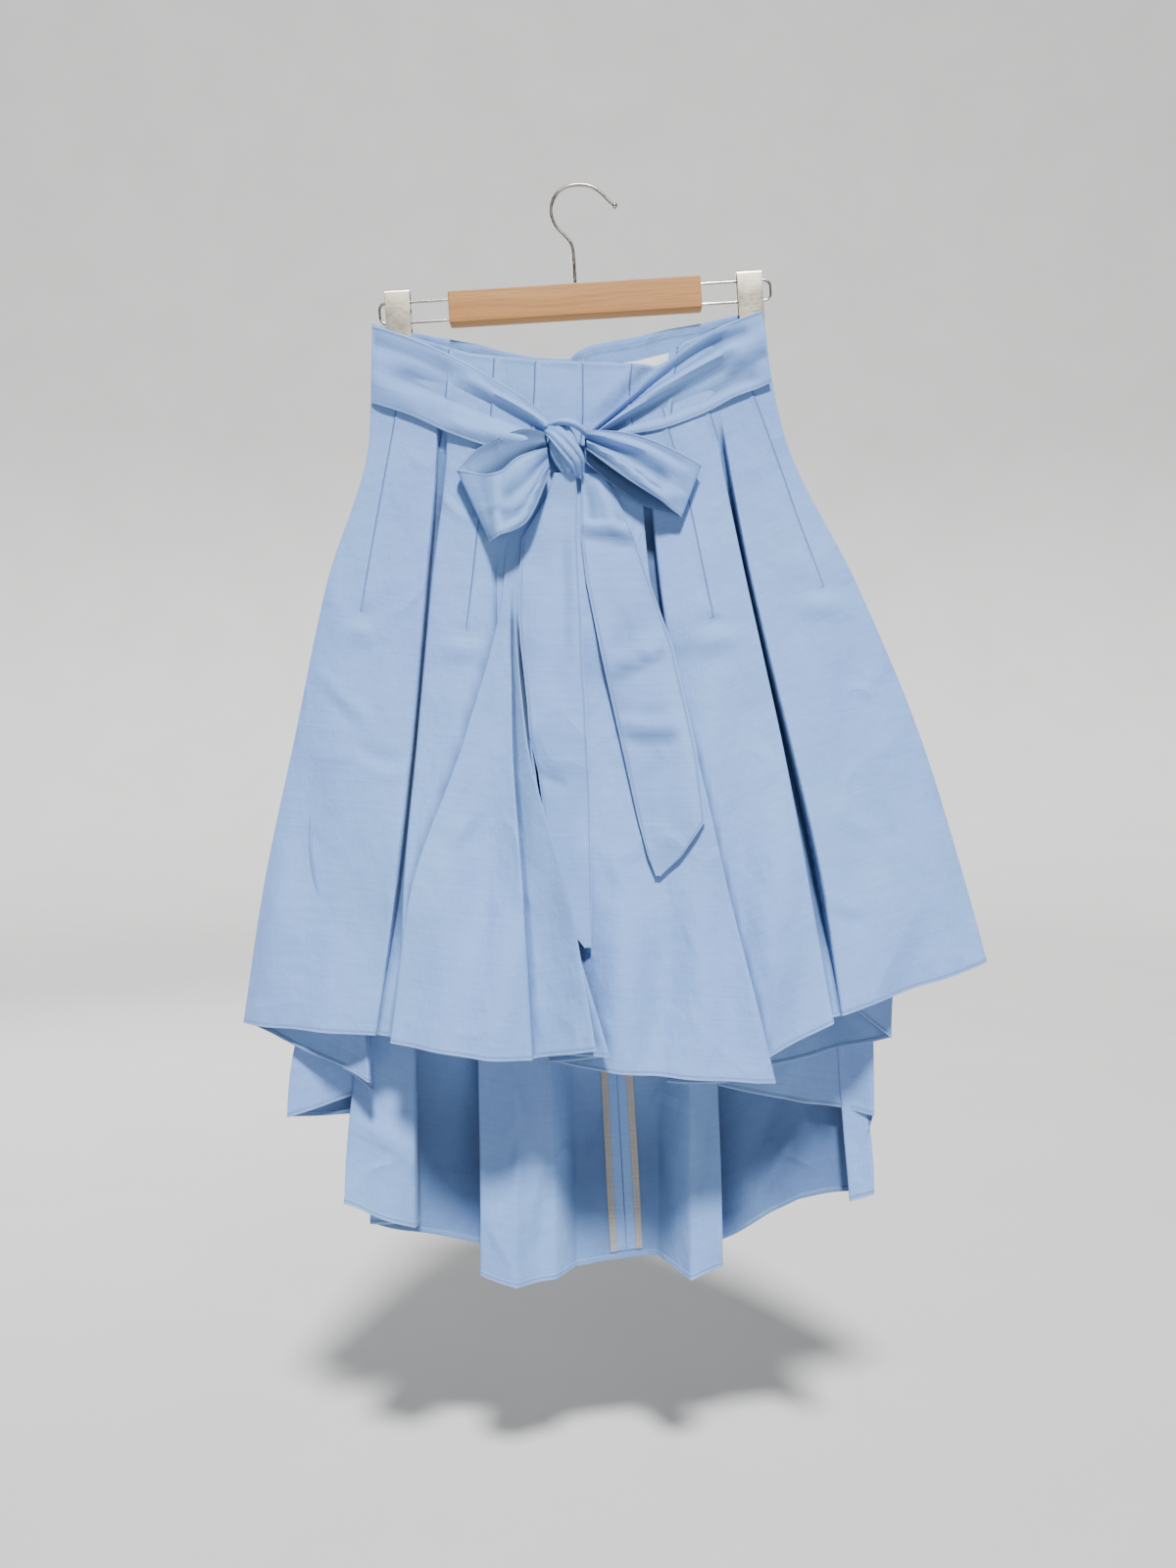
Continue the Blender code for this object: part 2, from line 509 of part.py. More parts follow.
def add_skirt(collection):
    """Front, the two backs, their seam bindings and the waist label."""
    sheet, right, back, left = skirt_sheet()
    front = panel(sheet, left, right)
    for name, grid in (("skirt_front", front), ("skirt_back_right", panel(sheet, right, back)),
                       ("skirt_back_left", panel(sheet, back, left))):
        add_mesh(name, *walled(grid, CLOTH), collection)
    inset = -(CLOTH / 2 + SEAM_GAP + BINDING_WALL / 2)
    reach = (BINDING_FROM, BINDING_FROM + BINDING_WIDTH)
    for name, step in (("binding_right", -1), ("binding_left", 1)):
        grid = beside_seam(sheet, back, step, reach)[2:]
        if step < 0:
            grid = grid[:, ::-1]
        add_mesh(name, *walled(grid, BINDING_WALL, inset), collection)
    label = np.empty((3, 5, 3))
    for i, t in enumerate((0, 0.5, 1)):
        for j, x in enumerate(np.linspace(LABEL_X[1], LABEL_X[0], 5)):
            z = waist_edge("B", x, False) - LABEL_DROP - LABEL_HEIGHT * t
            label[i, j] = (x, plain_y("B", x, z), z)
    add_mesh("waist_label", *walled(label, LABEL_WALL, -(CLOTH / 2 + SEAM_GAP + 0.2 + LABEL_WALL / 2)),
             collection)
    return sheet, front, left


def add_ribbon(collection, sheet, front, left):
    """The ribbon: two bands round the waist, two loops, the knot and two tails."""
    for name, stations, bow in (("sash_left", BAND_LEFT, 1.5), ("sash_right", BAND_RIGHT[::-1], 1.5)):
        add_mesh(name, *walled(band_grid(smooth_stations_as(stations, 2), 6, bow), RIBBON), collection)
    for name, stations in (("bow_loop_left", LOOP_LEFT), ("bow_loop_right", LOOP_RIGHT)):
        add_mesh(name, *walled(band_grid(smooth_stations_as(stations, 3), 5, 0), RIBBON), collection)
    lap = sheet[:, column_of("second inner") + 1:column_of("broad pleat edge") + 2]
    pocket = surface_tree(lap)
    add_mesh("tail_left", *walled(hanging_grid(refined(TAIL_LEFT, 2), pocket, 1.5), RIBBON), collection)
    whole = surface_tree(front)
    add_mesh("tail_right", *walled(hanging_grid(refined(TAIL_RIGHT, 2), whole, 1.7), RIBBON), collection)
    add_knot(collection)


def column_of(name):
    """First ring column of the named fold."""
    position = 0
    for i, fold in enumerate(FOLDS):
        if fold.name == name:
            return position
        turns = 1 if fold.inset_in == fold.inset_out else 2
        position += (turns + 1 if fold.soft else 1) + fold.cuts
        if FOLDS[(i + 1) % len(FOLDS)].face != fold.face:
            position += 1 - fold.cuts
    return position


def smooth_stations_as(stations, parts):
    """The same as smooth_stations, as Station rows."""
    return [Station(*row) for row in smooth_stations(stations, parts)]


def refined(rows, parts):
    """Hang rows with straight steps between them."""
    out = []
    for a, b in zip(rows, rows[1:]):
        out += [Hang(*(np.array(a) + (np.array(b) - np.array(a)) * k / parts)) for k in range(parts)]
    return out + [rows[-1]]


def add_knot(collection):
    """Knot: a rounded bundle with a diagonal wrap raised on it."""
    around, up = 14, 10
    points, faces = [], []
    for i in range(1, up):
        lat = math.pi * i / up
        for j in range(around):
            lon = 2 * math.pi * j / around
            x, y, z = math.sin(lat) * math.cos(lon), math.sin(lat) * math.sin(lon), math.cos(lat)
            wrap = math.exp(-((x * 0.75 + z * 0.66) / 0.35) ** 2)
            squeeze = 0.86 + 0.2 * wrap
            points.append((KNOT_CENTRE[0] + KNOT_HALF[0] * x * squeeze,
                           KNOT_CENTRE[1] + KNOT_HALF[1] * y * squeeze,
                           KNOT_CENTRE[2] + KNOT_HALF[2] * z * squeeze))
    top, bottom = len(points), len(points) + 1
    points += [(KNOT_CENTRE[0], KNOT_CENTRE[1], KNOT_CENTRE[2] + KNOT_HALF[2] * 0.9),
               (KNOT_CENTRE[0], KNOT_CENTRE[1], KNOT_CENTRE[2] - KNOT_HALF[2] * 0.9)]
    for j in range(around):
        k = (j + 1) % around
        faces += [(top, j, k), (bottom, (up - 2) * around + k, (up - 2) * around + j)]
        for i in range(up - 2):
            faces.append((i * around + j, (i + 1) * around + j, (i + 1) * around + k, i * around + k))
    add_mesh("bow_knot", points, faces, collection)


def add_hanger(collection):
    """Bar, hook with its ball end, the two wire rails and the two clips."""
    half_x, half_z, chamfer = BAR_SIZE[0] / 2, BAR_SIZE[2] / 2, 1.5
    outline = [(half_x - chamfer, -half_z), (half_x, chamfer - half_z), (half_x, half_z - chamfer),
               (half_x - chamfer, half_z), (chamfer - half_x, half_z), (-half_x, half_z - chamfer),
               (-half_x, chamfer - half_z), (chamfer - half_x, -half_z)]
    add_prism("hanger_bar", [tilted(x, z) for x, z in outline], BAR_SIZE[1] / 2, collection)
    add_wire("hanger_hook", [(x, 0, z) for x, z in HOOK_PATH], WIRE_HOOK, collection)
    add_ball(collection)
    for name, side in (("rail_left", -1), ("rail_right", 1)):
        start, reach, r = half_x + SEAM_GAP, RAIL_REACH, RAIL_PITCH / 2
        path = [(side * start, r), (side * (start + reach - r), r)]
        path += [(side * (start + reach - r + r * math.sin(a)), r * math.cos(a))
                 for a in np.linspace(0, math.pi, 9)[1:-1]]
        path += [(side * (start + reach - r), -r), (side * start, -r)]
        add_wire(name, [(tilted(x, z)[0], 0, tilted(x, z)[1]) for x, z in path], WIRE_RAIL, collection)
    for name, (x, z) in (("clip_left", CLIP_LEFT), ("clip_right", CLIP_RIGHT)):
        add_clip(name, x, z, collection)


def add_ball(collection):
    """Ball on the end of the hook, clear of the wire."""
    around, up = 12, 8
    x0, z0, r = BALL
    points = [(x0 + r * math.sin(math.pi * i / up) * math.cos(2 * math.pi * j / around),
               r * math.sin(math.pi * i / up) * math.sin(2 * math.pi * j / around),
               z0 + r * math.cos(math.pi * i / up)) for i in range(1, up) for j in range(around)]
    top, bottom = len(points), len(points) + 1
    points += [(x0, 0, z0 + r), (x0, 0, z0 - r)]
    faces = []
    for j in range(around):
        k = (j + 1) % around
        faces += [(top, j, k), (bottom, (up - 2) * around + k, (up - 2) * around + j)]
        for i in range(up - 2):
            faces.append((i * around + j, (i + 1) * around + j, (i + 1) * around + k, i * around + k))
    add_mesh("hanger_ball", points, faces, collection)


def add_clip(name, x, z, collection):
    """Clip folded over the rail: two jaws and, between them, the saddle that rides on the rail."""
    width, height = CLIP_SIZE
    out, inn = CLIP_HALF + CLIP_PLATE, CLIP_HALF
    rail_z = tilted((x - BAR_CENTRE[0]) / math.cos(TILT), RAIL_PITCH / 2)[1] + WIRE_RAIL
    saddle = rail_z + SEAM_GAP - z
    profile = [(-out, -height), (-out, -1.5), (-out + 1.5, 0), (out - 1.5, 0), (out, -1.5), (out, -height),
               (inn, -height), (inn, saddle), (-inn, saddle), (-inn, -height)]
    points, faces = [], []
    count = len(profile)
    for side in (-1, 1):
        for y, drop in profile:
            dx = side * width / 2
            points.append((x + dx - drop * math.sin(TILT), y, z + dx * math.tan(TILT) + drop))
    faces = [tuple(range(count)), tuple(reversed(range(count, 2 * count)))]
    faces += [((i + 1) % count, i, i + count, (i + 1) % count + count) for i in range(count)]
    add_mesh(name, points, faces, collection, rounded=False)


def main():
    """Build the whole part."""
    clear_scene()
    collection = bpy.data.collections.new("high_low_skirt_on_hanger")
    bpy.context.scene.collection.children.link(collection)
    sheet, front, left = add_skirt(collection)
    add_ribbon(collection, sheet, front, left)
    add_hanger(collection)


main()
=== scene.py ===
"""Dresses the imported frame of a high-low pleated skirt on a clip hanger.

Pattern sizes are in millimetres and heights run down from the top of the hook; placed() turns them
into the frame's metres.  +X is the viewer's right, the front faces -Y and +Z is up.
"""
from __future__ import annotations

import json
import logging
import math
from dataclasses import dataclass, field
from enum import Enum
from typing import Any, NamedTuple, Sequence

import bmesh
import bpy
import numpy as np
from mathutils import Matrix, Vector
from mathutils.bvhtree import BVHTree

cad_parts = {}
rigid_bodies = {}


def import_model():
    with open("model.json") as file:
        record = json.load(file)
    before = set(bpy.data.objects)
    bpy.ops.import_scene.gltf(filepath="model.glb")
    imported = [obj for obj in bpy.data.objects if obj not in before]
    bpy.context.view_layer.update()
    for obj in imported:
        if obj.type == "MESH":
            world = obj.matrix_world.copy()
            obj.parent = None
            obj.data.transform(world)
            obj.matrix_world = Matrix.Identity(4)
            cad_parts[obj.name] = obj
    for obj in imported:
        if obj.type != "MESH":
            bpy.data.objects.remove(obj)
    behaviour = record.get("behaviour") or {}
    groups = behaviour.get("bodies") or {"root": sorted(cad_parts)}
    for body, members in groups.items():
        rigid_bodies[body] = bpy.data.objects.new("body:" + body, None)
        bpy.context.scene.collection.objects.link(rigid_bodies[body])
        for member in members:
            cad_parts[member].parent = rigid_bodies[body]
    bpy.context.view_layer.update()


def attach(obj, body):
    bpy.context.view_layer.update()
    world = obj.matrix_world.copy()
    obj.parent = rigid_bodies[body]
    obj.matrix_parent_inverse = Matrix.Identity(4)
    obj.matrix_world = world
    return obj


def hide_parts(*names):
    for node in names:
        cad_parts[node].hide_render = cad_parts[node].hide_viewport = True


LOG = logging.getLogger("skirt")
MM = 0.001
SEAT_DROP = 3.0  # hook wire thickness: from the top of the hook to the seat under its crown
BAR_TILT = math.radians(3.6)
RAY_START = -400.0  # y well in front of the object, where a ray sets out
SWING_TOP = -210.0  # height below which the cloth starts to swing free
SWING_DROP = 420.0  # drop over which it comes to swing in full
OUTLINE_STEP = 2  # millimetres between the heights at which the outline is kept
OUTLINE_DROP = 1000  # height that the kept outline reaches down
WAVE_BAND = 0.314  # scale of a wave node that gives one band to the metre
Array = np.ndarray
Path1 = tuple[float, ...]
Path2 = tuple[tuple[float, float], ...]
Point3 = tuple[float, float, float]
Colour = tuple[float, float, float, float]
Material = bpy.types.Material
Piece = bpy.types.Object
Socket = bpy.types.NodeSocket


class Side(Enum):
    """Face of the skirt that a fold belongs to."""

    FRONT = -1.0
    BACK = 1.0


class Course(Enum):
    """How a fold runs down: through its own x at each level, or shut until it opens."""

    FOLLOW = "follow"
    LATE = "late"


class Kind(Enum):
    """What the cloth does at a corner of a ring."""

    TURN_IN = "turn in"
    TURN_OUT = "turn out"
    BEND = "bend"
    SEAM = "seam"
    PLAIN = "plain"


class Corner(NamedTuple):
    """Corner of a ring of cloth before it is rounded, with the name of its fold."""

    x: float
    y: float
    z: float
    soft: float
    kind: Kind
    fold: str


class Fold(NamedTuple):
    """One fold: x at four levels, its end on the hem, where it opens, how deep and how round it is."""

    name: str
    side: Side
    course: Course
    waist: float
    hip: float
    thigh: float
    knee: float
    hem_x: float
    hem_z: float
    opens: float
    inset_in: float
    inset_out: float
    soft: float


F, B = Side.FRONT, Side.BACK
FO, LA = Course.FOLLOW, Course.LATE
FOLDS = [Fold(*row) for row in (
    ("left edge front", F, FO, -180, -217, -244, -271, -288, -719, -150, -2, -2, 2),
    ("left pleat roll", F, FO, -122, -130, -140, -152, -169, -723, -224, 3, 26, 7),
    ("left pleat inner", F, FO, -118, -106, -110, -116, -126, -727, -224, 26, 19, 3),
    ("left pleat edge", F, FO, -114, -126, -137, -146, -149, -727, -224, 14, 8, 3),
    ("drape inner", F, FO, -62, -70, -66, -90, -105, -730, -335, 8, 4, 3),
    ("drape edge", F, FO, -58, -64, -95, -139, -155, -727, -335, 4, 0, 3),
    ("drape swell", F, FO, -54, -61, -72, -76, -75, -736, -335, 0, 0, 15),
    ("centre valley", F, FO, -50, -58, -56, -46, -38, -738, -380, 0, 8, 3),
    ("centre cone edge", F, FO, -46, -55, -44, -9, 13, -725, -400, -11, -6, 3),
    ("cone inner", F, FO, -42, -52, -48, -39, -32, -735, -400, 12, 18, 3),
    ("second cone edge", F, FO, -38, -49, -41, -14, 24, -732, -490, 0, 6, 3),
    ("second inner", F, FO, -34, -45, -37, -33, -25, -744, -490, 24, 34, 3),
    ("right swell", F, FO, 0, 0, 10, 30, 52, -750, -420, 9, 9, 20),
    ("broad pleat edge", F, FO, 48, 59, 92, 122, 158, -756, -285, 0, 4, 3),
    ("broad pleat inner", F, FO, 52, 55, 66, 68, 72, -758, -285, 20, 22, 3),
    ("broad pleat roll", F, FO, 55, 67, 84, 96, 112, -758, -285, 20, 1, 5),
    ("right pleat edge", F, FO, 116, 141, 168, 190, 207, -710, -240, 4, 8, 3),
    ("right pleat inner", F, FO, 120, 130, 150, 168, 184, -712, -240, 19, 26, 3),
    ("right pleat roll", F, FO, 122, 145, 174, 201, 215, -705, -240, 26, 2, 7),
    ("right edge front", F, FO, 174, 237, 291, 331, 348, -667, -150, -2, -2, 2),
    ("right edge back", B, FO, 174, 237, 291, 331, 348, -667, -150, -2, -2, 2),
    ("right back roll", B, LA, 166, 228, 280, 314, 277, -690, -520, 28, 28, 10),
    ("hidden turn", B, LA, 158, 219, 269, 304, 226, -700, -520, 34, 29, 3),
    ("corner edge", B, LA, 149, 208, 256, 288, 267, -733, -520, 26, 21, 3),
    ("long inner turn", B, LA, 139, 195, 240, 268, 100, -778, -495, 24, 19, 3),
    ("second corner", B, LA, 127, 180, 222, 248, 256, -804, -520, 14, 9, 3),
    ("tube left edge", B, FO, 114, 164, 202, 214, 236, -880, -520, 18, 20, 5),
    ("tube right edge", B, LA, 100, 146, 182, 206, 257, -873, -520, 12, 0, 4),
    ("lifted hem corner", B, LA, 84, 120, 150, 172, 195, -886, -520, 0, 0, 14),
    ("right flute root", B, LA, 66, 86, 98, 104, 112, -934, -560, 0, 0, 8),
    ("right flute edge", B, LA, 62, 86, 105, 115, 125, -938, -560, 24, 32, 12),
    ("right flute crest", B, LA, 50, 70, 86, 94, 97, -951, -560, 40, 40, 12),
    ("right flute foot", B, LA, 38, 52, 64, 68, 70, -943, -560, 2, 2, 10),
    ("centre back", B, FO, -3, 5, 14, 22, 42, -945, -600, 0, 0, 0),
    ("left flute foot", B, LA, -24, -22, -18, -10, -4, -949, -600, 3, 3, 8),
    ("left flute side", B, LA, -34, -36, -34, -30, -22, -952, -600, 34, 34, 14),
    ("left flute crest", B, LA, -46, -52, -56, -58, -55, -954, -600, 50, 50, 14),
    ("left flute edge", B, LA, -62, -76, -88, -92, -88, -945, -600, 36, 36, 13),
    ("left flute root", B, LA, -66, -76, -82, -82, -76, -933, -600, 0, 0, 9),
    ("left back turn", B, LA, -90, -108, -124, -136, -186, -904, -520, 0, 5, 3),
    ("flap right edge", B, LA, -102, -122, -138, -147, -142, -900, -520, 12, 32, 5),
    ("flap left edge", B, LA, -114, -136, -156, -170, -203, -876, -520, 34, 27, 5),
    ("sliver inner", B, LA, -126, -150, -172, -187, -152, -806, -520, 18, 16, 3),
    ("left corner edge", B, LA, -138, -164, -186, -200, -251, -801, -520, 10, 15, 3),
    ("curl inner", B, LA, -148, -176, -198, -212, -180, -780, -520, 26, 30, 3),
    ("curl left edge", B, LA, -158, -187, -209, -224, -203, -758, -520, 34, 38, 3),
    ("curl right edge", B, LA, -166, -197, -220, -236, -177, -766, -520, 50, 58, 3),
    ("left back roll", B, LA, -173, -207, -232, -252, -262, -728, -520, 12, 12, 10),
    ("left edge back", B, FO, -180, -217, -244, -271, -288, -719, -150, -2, -2, 2),
)]
# Insets that a fold eases to on its way down: where that starts, where it ends, and both insets.
EASED = {
    "left pleat roll": (-575, -700, 8, 12), "left pleat inner": (-575, -700, 16, 14),
    "right pleat roll": (-590, -700, 12, 8), "right pleat inner": (-590, -700, 13, 15),
    "broad pleat roll": (-375, -425, 20, 12),
}
NAMED = {fold.name: fold for fold in FOLDS}
LEFT_EDGE, RIGHT_EDGE = NAMED["left edge front"], NAMED["right edge front"]
CENTRE_BACK = FOLDS.index(NAMED["centre back"])


class Station(NamedTuple):
    """Cross line of a ribbon: upper edge, lower edge and depth in front of the plain skirt."""

    ux: float
    uz: float
    lx: float
    lz: float
    off: float


class Hang(NamedTuple):
    """Level of a hanging tail: height, both edges and how far it may sink into a fold."""

    z: float
    left: float
    right: float
    tuck: float


BAND_LEFT = [Station(*r) for r in (
    (-177, -124, -178, -190, 4.0), (-168, -127, -169, -193, 5.6), (-142, -136, -143, -202, 4.1),
    (-110, -150, -112, -216, 1.9), (-76, -169, -85, -226, 1.8), (-43, -190, -54, -233, 2.5),
    (-27, -204, -31, -238, 4.0))]
BAND_RIGHT = [Station(*r) for r in (
    (155, -112, 163, -173, 6.6), (146, -115, 152, -178, 5.6), (131, -121, 131, -186, 4.7),
    (106, -133, 106, -199, 1.9), (73, -157, 69, -213, 1.8), (36, -191, 33, -220, 2.5),
    (8, -217, 8, -231, 4.0))]
LOOP_LEFT = [Station(*r) for r in (
    (-28, -220, -28, -242, 10), (-51, -215, -47, -272, 6.1), (-84, -229, -67, -301, 4.6),
    (-100, -244, -73, -308, 5), (-104, -250, -75, -312, 8), (-98, -252, -74, -312, 13),
    (-71, -257, -68, -311, 21), (-51, -243, -43, -298, 23), (-28, -234, -25, -255, 17))]
LOOP_RIGHT = [Station(*r) for r in (
    (4, -224, 4, -245, 11), (44, -229, 46, -277, 6.5), (90, -241, 78, -288, 5.5),
    (100, -246, 84, -291, 7), (99, -245, 83, -290, 11), (72, -232, 66, -279, 18),
    (40, -222, 37, -260, 21), (5, -219, 6, -236, 18))]
TAIL_LEFT = [Hang(*r) for r in (
    (-254, -22, -4, -8), (-276, -29, -2, -3), (-309, -49, -2, 0), (-345, -51, 0, 0), (-380, -51, 2, 0),
    (-400, -49.4, 2.5, 0), (-420, -46.8, 3, 0), (-450, -43.4, 5, 0), (-475, -41.5, 6, 0),
    (-505, -34.5, 7.5, 4), (-530, -31, 8.5, 8), (-570, -25, 9, 10), (-620, -20, 10, 11),
    (-648, 4, 9.5, 11))]
TAIL_RIGHT = [Hang(*r) for r in (
    (-253, 1, 19, -2), (-285, 1, 36, 0), (-309, 1, 46, 9), (-345, 5, 58, 9), (-400, 16, 77, 9),
    (-450, 27, 88, 9), (-490, 36, 96, 9), (-545, 48, 102, 9), (-575, 56, 82, 9), (-590, 62, 66, 9))]


# ---------------- numbers and grids
def smooth(t: Any) -> Any:
    """Number or array t eased from 0 to 1, and held to them outside."""
    t = np.clip(t, 0.0, 1.0)
    return t * t * (3.0 - 2.0 * t)


def looseness(z: Array) -> Array:
    """How freely the cloth swings at its heights: 0 by the waist and 1 near the hem."""
    return smooth((SWING_TOP - z) / SWING_DROP)


def curve_through(heights: Sequence[float], values: Sequence[float], z: float) -> float:
    """Smooth curve through values at falling heights.

    Args:
        heights: the heights, from high to low.
        values: the value at each height.
        z: the height asked for.

    Returns:
        The value at z.
    """
    h = -np.asarray(heights, float)
    y = np.asarray(values, float)
    t = min(max(-z, h[0]), h[-1])
    d = np.diff(y) / np.diff(h)
    slope = np.empty(len(y))
    slope[0], slope[-1] = d[0], d[-1]
    for i in range(1, len(y) - 1):
        slope[i] = 0.0 if d[i - 1] * d[i] <= 0 else 2 * d[i - 1] * d[i] / (d[i - 1] + d[i])
    i = min(int(np.searchsorted(h, t, side="right")) - 1, len(h) - 2)
    w = h[i + 1] - h[i]
    u = (t - h[i]) / w
    return ((1 + 2 * u) * (1 - u) ** 2 * y[i] + u * (1 - u) ** 2 * w * slope[i]
            + u * u * (3 - 2 * u) * y[i + 1] + u * u * (u - 1) * w * slope[i + 1])


def spline(rows: Sequence[Sequence[float]], parts: int) -> Array:
    """Smooth line through rows of numbers.

    Args:
        rows: the rows that the line goes through.
        parts: steps from each row to the next.

    Returns:
        The rows of the finer line.
    """
    given = np.array(rows, float)
    last = len(given) - 1
    out = []
    for i in range(last):
        p0, p1, p2, p3 = given[max(i - 1, 0)], given[i], given[i + 1], given[min(i + 2, last)]
        for k in range(parts):
            t = k / parts
            out.append(0.5 * (2 * p1 + (p2 - p0) * t + (2 * p0 - 5 * p1 + 4 * p2 - p3) * t * t
                              + (3 * p1 - p0 - 3 * p2 + p3) * t ** 3))
    return np.array(out + [given[-1]])


def grid_normals(grid: Array) -> Array:
    """Outward unit normals of a grid whose rows run down and columns anticlockwise.

    Args:
        grid: points, rows by columns by 3.

    Returns:
        One normal for each point.
    """
    step = np.diff(grid, axis=1)
    step = step / np.maximum(np.linalg.norm(step, axis=2), 0.6)[:, :, None]
    along = np.concatenate((step[:, :1], step[:, :-1] + step[:, 1:], step[:, -1:]), axis=1)
    normals = np.cross(np.gradient(grid, axis=0), along)
    return normals / np.maximum(np.linalg.norm(normals, axis=2), 1e-9)[:, :, None]


def hollows(grid: Array, reach: int, most: float) -> Array:
    """How far each point lies behind the cloth round it.

    Args:
        grid: points of the cloth.
        reach: rows and columns looked at on each side.
        most: depth in millimetres that counts as 1.

    Returns:
        0 on ridges and flat cloth, up to 1 in hollows.
    """
    padded = np.pad(grid[:, :, 1], reach, mode="edge")
    windows = np.lib.stride_tricks.sliding_window_view(padded, (2 * reach + 1, 2 * reach + 1))
    return np.clip((grid[:, :, 1] - windows.mean(axis=(2, 3))) / most, 0, 1)


def run_along(line: Array) -> Array:
    """Distance along a line of points, at each of them."""
    return np.concatenate(([0], np.cumsum(np.linalg.norm(np.diff(line, axis=0), axis=1))))


def grid_uv(grid: Array) -> Array:
    """Cloth coordinates of a grid, in metres along its weft and its warp.

    Args:
        grid: points in millimetres.

    Returns:
        Rows by columns by 2.
    """
    across = np.linalg.norm(np.diff(grid, axis=1), axis=2).mean(axis=0)
    down = np.linalg.norm(np.diff(grid, axis=0), axis=2).mean(axis=1)
    u = np.concatenate(([0], np.cumsum(across))) * MM
    v = np.concatenate(([0], np.cumsum(down))) * MM
    return np.stack(np.broadcast_arrays(u[None, :], -v[:, None]), axis=2)


def tree_of(grid: Array) -> BVHTree:
    """Search tree of a grid of points.

    Args:
        grid: rows by columns by 3, in millimetres.

    Returns:
        The tree, for casting rays at the grid.
    """
    rows, columns = grid.shape[:2]
    quads = [(r * columns + c, r * columns + c + 1, (r + 1) * columns + c + 1, (r + 1) * columns + c)
             for r in range(rows - 1) for c in range(columns - 1)]
    return BVHTree.FromPolygons([Vector(p) for p in grid.reshape(-1, 3)], quads)


def front_depth(tree: BVHTree, x: float, z: float, otherwise: float) -> float:
    """y of the first surface met by a ray from the front at x and z, or otherwise."""
    hit = tree.ray_cast(Vector((x, RAY_START, z)), Vector((0, 1, 0)))[0]
    return hit.y if hit else otherwise


# ---------------- meshes
def placed(points: Array) -> Array:
    """Pattern millimetres as the frame's metres."""
    return (np.asarray(points, float) + (0, 0, SEAT_DROP)) * MM


def add_object(name: str, data: Any) -> Piece:
    """Object at the origin, linked to the scene.

    Args:
        name: its name.
        data: its mesh, lamp or camera.

    Returns:
        The object.
    """
    made = bpy.data.objects.new(name, data)
    bpy.context.scene.collection.objects.link(made)
    return made


def belongs(piece: Piece, slot: str, *nodes: str) -> Piece:
    """Fix a piece to the one body of the frame.

    Args:
        piece: the piece.
        slot: slot that its finish belongs to; not used.
        nodes: frame nodes that it stands for.

    Returns:
        The piece.
    """
    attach(piece, "root")
    if nodes:
        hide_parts(*nodes)
    return piece


def add_mesh(name: str, points: Array, faces: Sequence[Sequence[int]],
             material: Material, sharp: float = 40.0, uv: Array | None = None,
             edge: Array | None = None, deep: Array | None = None) -> Piece:
    """Mesh object at the origin.

    Args:
        name: name of the piece.
        points: its points in pattern millimetres.
        faces: its faces.
        material: its finish.
        sharp: faces that meet at more than this angle keep a sharp edge, in degrees.
        uv: cloth coordinates of each point.
        edge: how much painted highlight each point takes on a pressed edge, 0 to 1.
        deep: how much painted shade each point takes in a groove, pleat or hollow, 0 to 1.

    Returns:
        The object, linked to the scene.
    """
    mesh = bpy.data.meshes.new(name)
    mesh.from_pydata([tuple(p) for p in placed(points)], [], faces)
    mesh.update()
    mesh.polygons.foreach_set("use_smooth", [True] * len(mesh.polygons))
    mesh.set_sharp_from_angle(angle=math.radians(sharp))
    if uv is not None:
        corner = np.empty(len(mesh.loops), int)
        mesh.loops.foreach_get("vertex_index", corner)
        mesh.uv_layers.new(name="cloth").uv.foreach_set("vector", uv[corner].ravel().astype(np.float32))
    for name_of, values in (("edge", edge), ("deep", deep)):
        if values is not None:
            layer = mesh.attributes.new(name_of, "FLOAT", "POINT")
            layer.data.foreach_set("value", values.astype(np.float32))
    mesh.materials.append(material)
    return add_object(name, mesh)


def add_shell(name: str, grid: Array, outer: Any, inner: Any, material: Material,
              edge: Array | None = None, deep: Array | None = None) -> Piece:
    """Closed cloth wall about a grid.

    Args:
        name: name of the piece.
        grid: mid surface, rows by columns by 3.
        outer: wall outside the grid, a number or an array that fits rows by columns.
        inner: wall inside the grid, likewise.
        material: its finish.
        edge: painted edge highlight of each grid point.
        deep: painted shade of each grid point in a groove or pleat, for both faces or one for each.

    Returns:
        The object.
    """
    rows, columns = grid.shape[:2]
    normals = grid_normals(grid)
    outside = grid + normals * np.broadcast_to(outer, (rows, columns))[:, :, None]
    inside = grid - normals * np.broadcast_to(inner, (rows, columns))[:, :, None]
    half = rows * columns
    index = np.arange(half).reshape(rows, columns)
    a, b, c, d = (index[:-1, :-1], index[1:, :-1], index[1:, 1:], index[:-1, 1:])
    front = np.stack((a, b, c, d), axis=2).reshape(-1, 4)
    faces = np.concatenate((front, front[:, ::-1] + half)).tolist()
    rim = (index[:, 0].tolist() + index[-1, 1:].tolist() + index[-2::-1, -1].tolist()
           + index[0, -2:0:-1].tolist())
    faces += [(q, p, half + p, half + q) for p, q in zip(rim, rim[1:] + rim[:1])]
    uv = np.tile(grid_uv(grid).reshape(-1, 2), (2, 1))
    highlight_share, groove = (None if values is None else np.broadcast_to(values, (2, rows, columns)).ravel()
                    for values in (edge, deep))
    return add_mesh(name, np.vstack((outside.reshape(-1, 3), inside.reshape(-1, 3))), faces, material,
                    50.0, uv, highlight_share, groove)


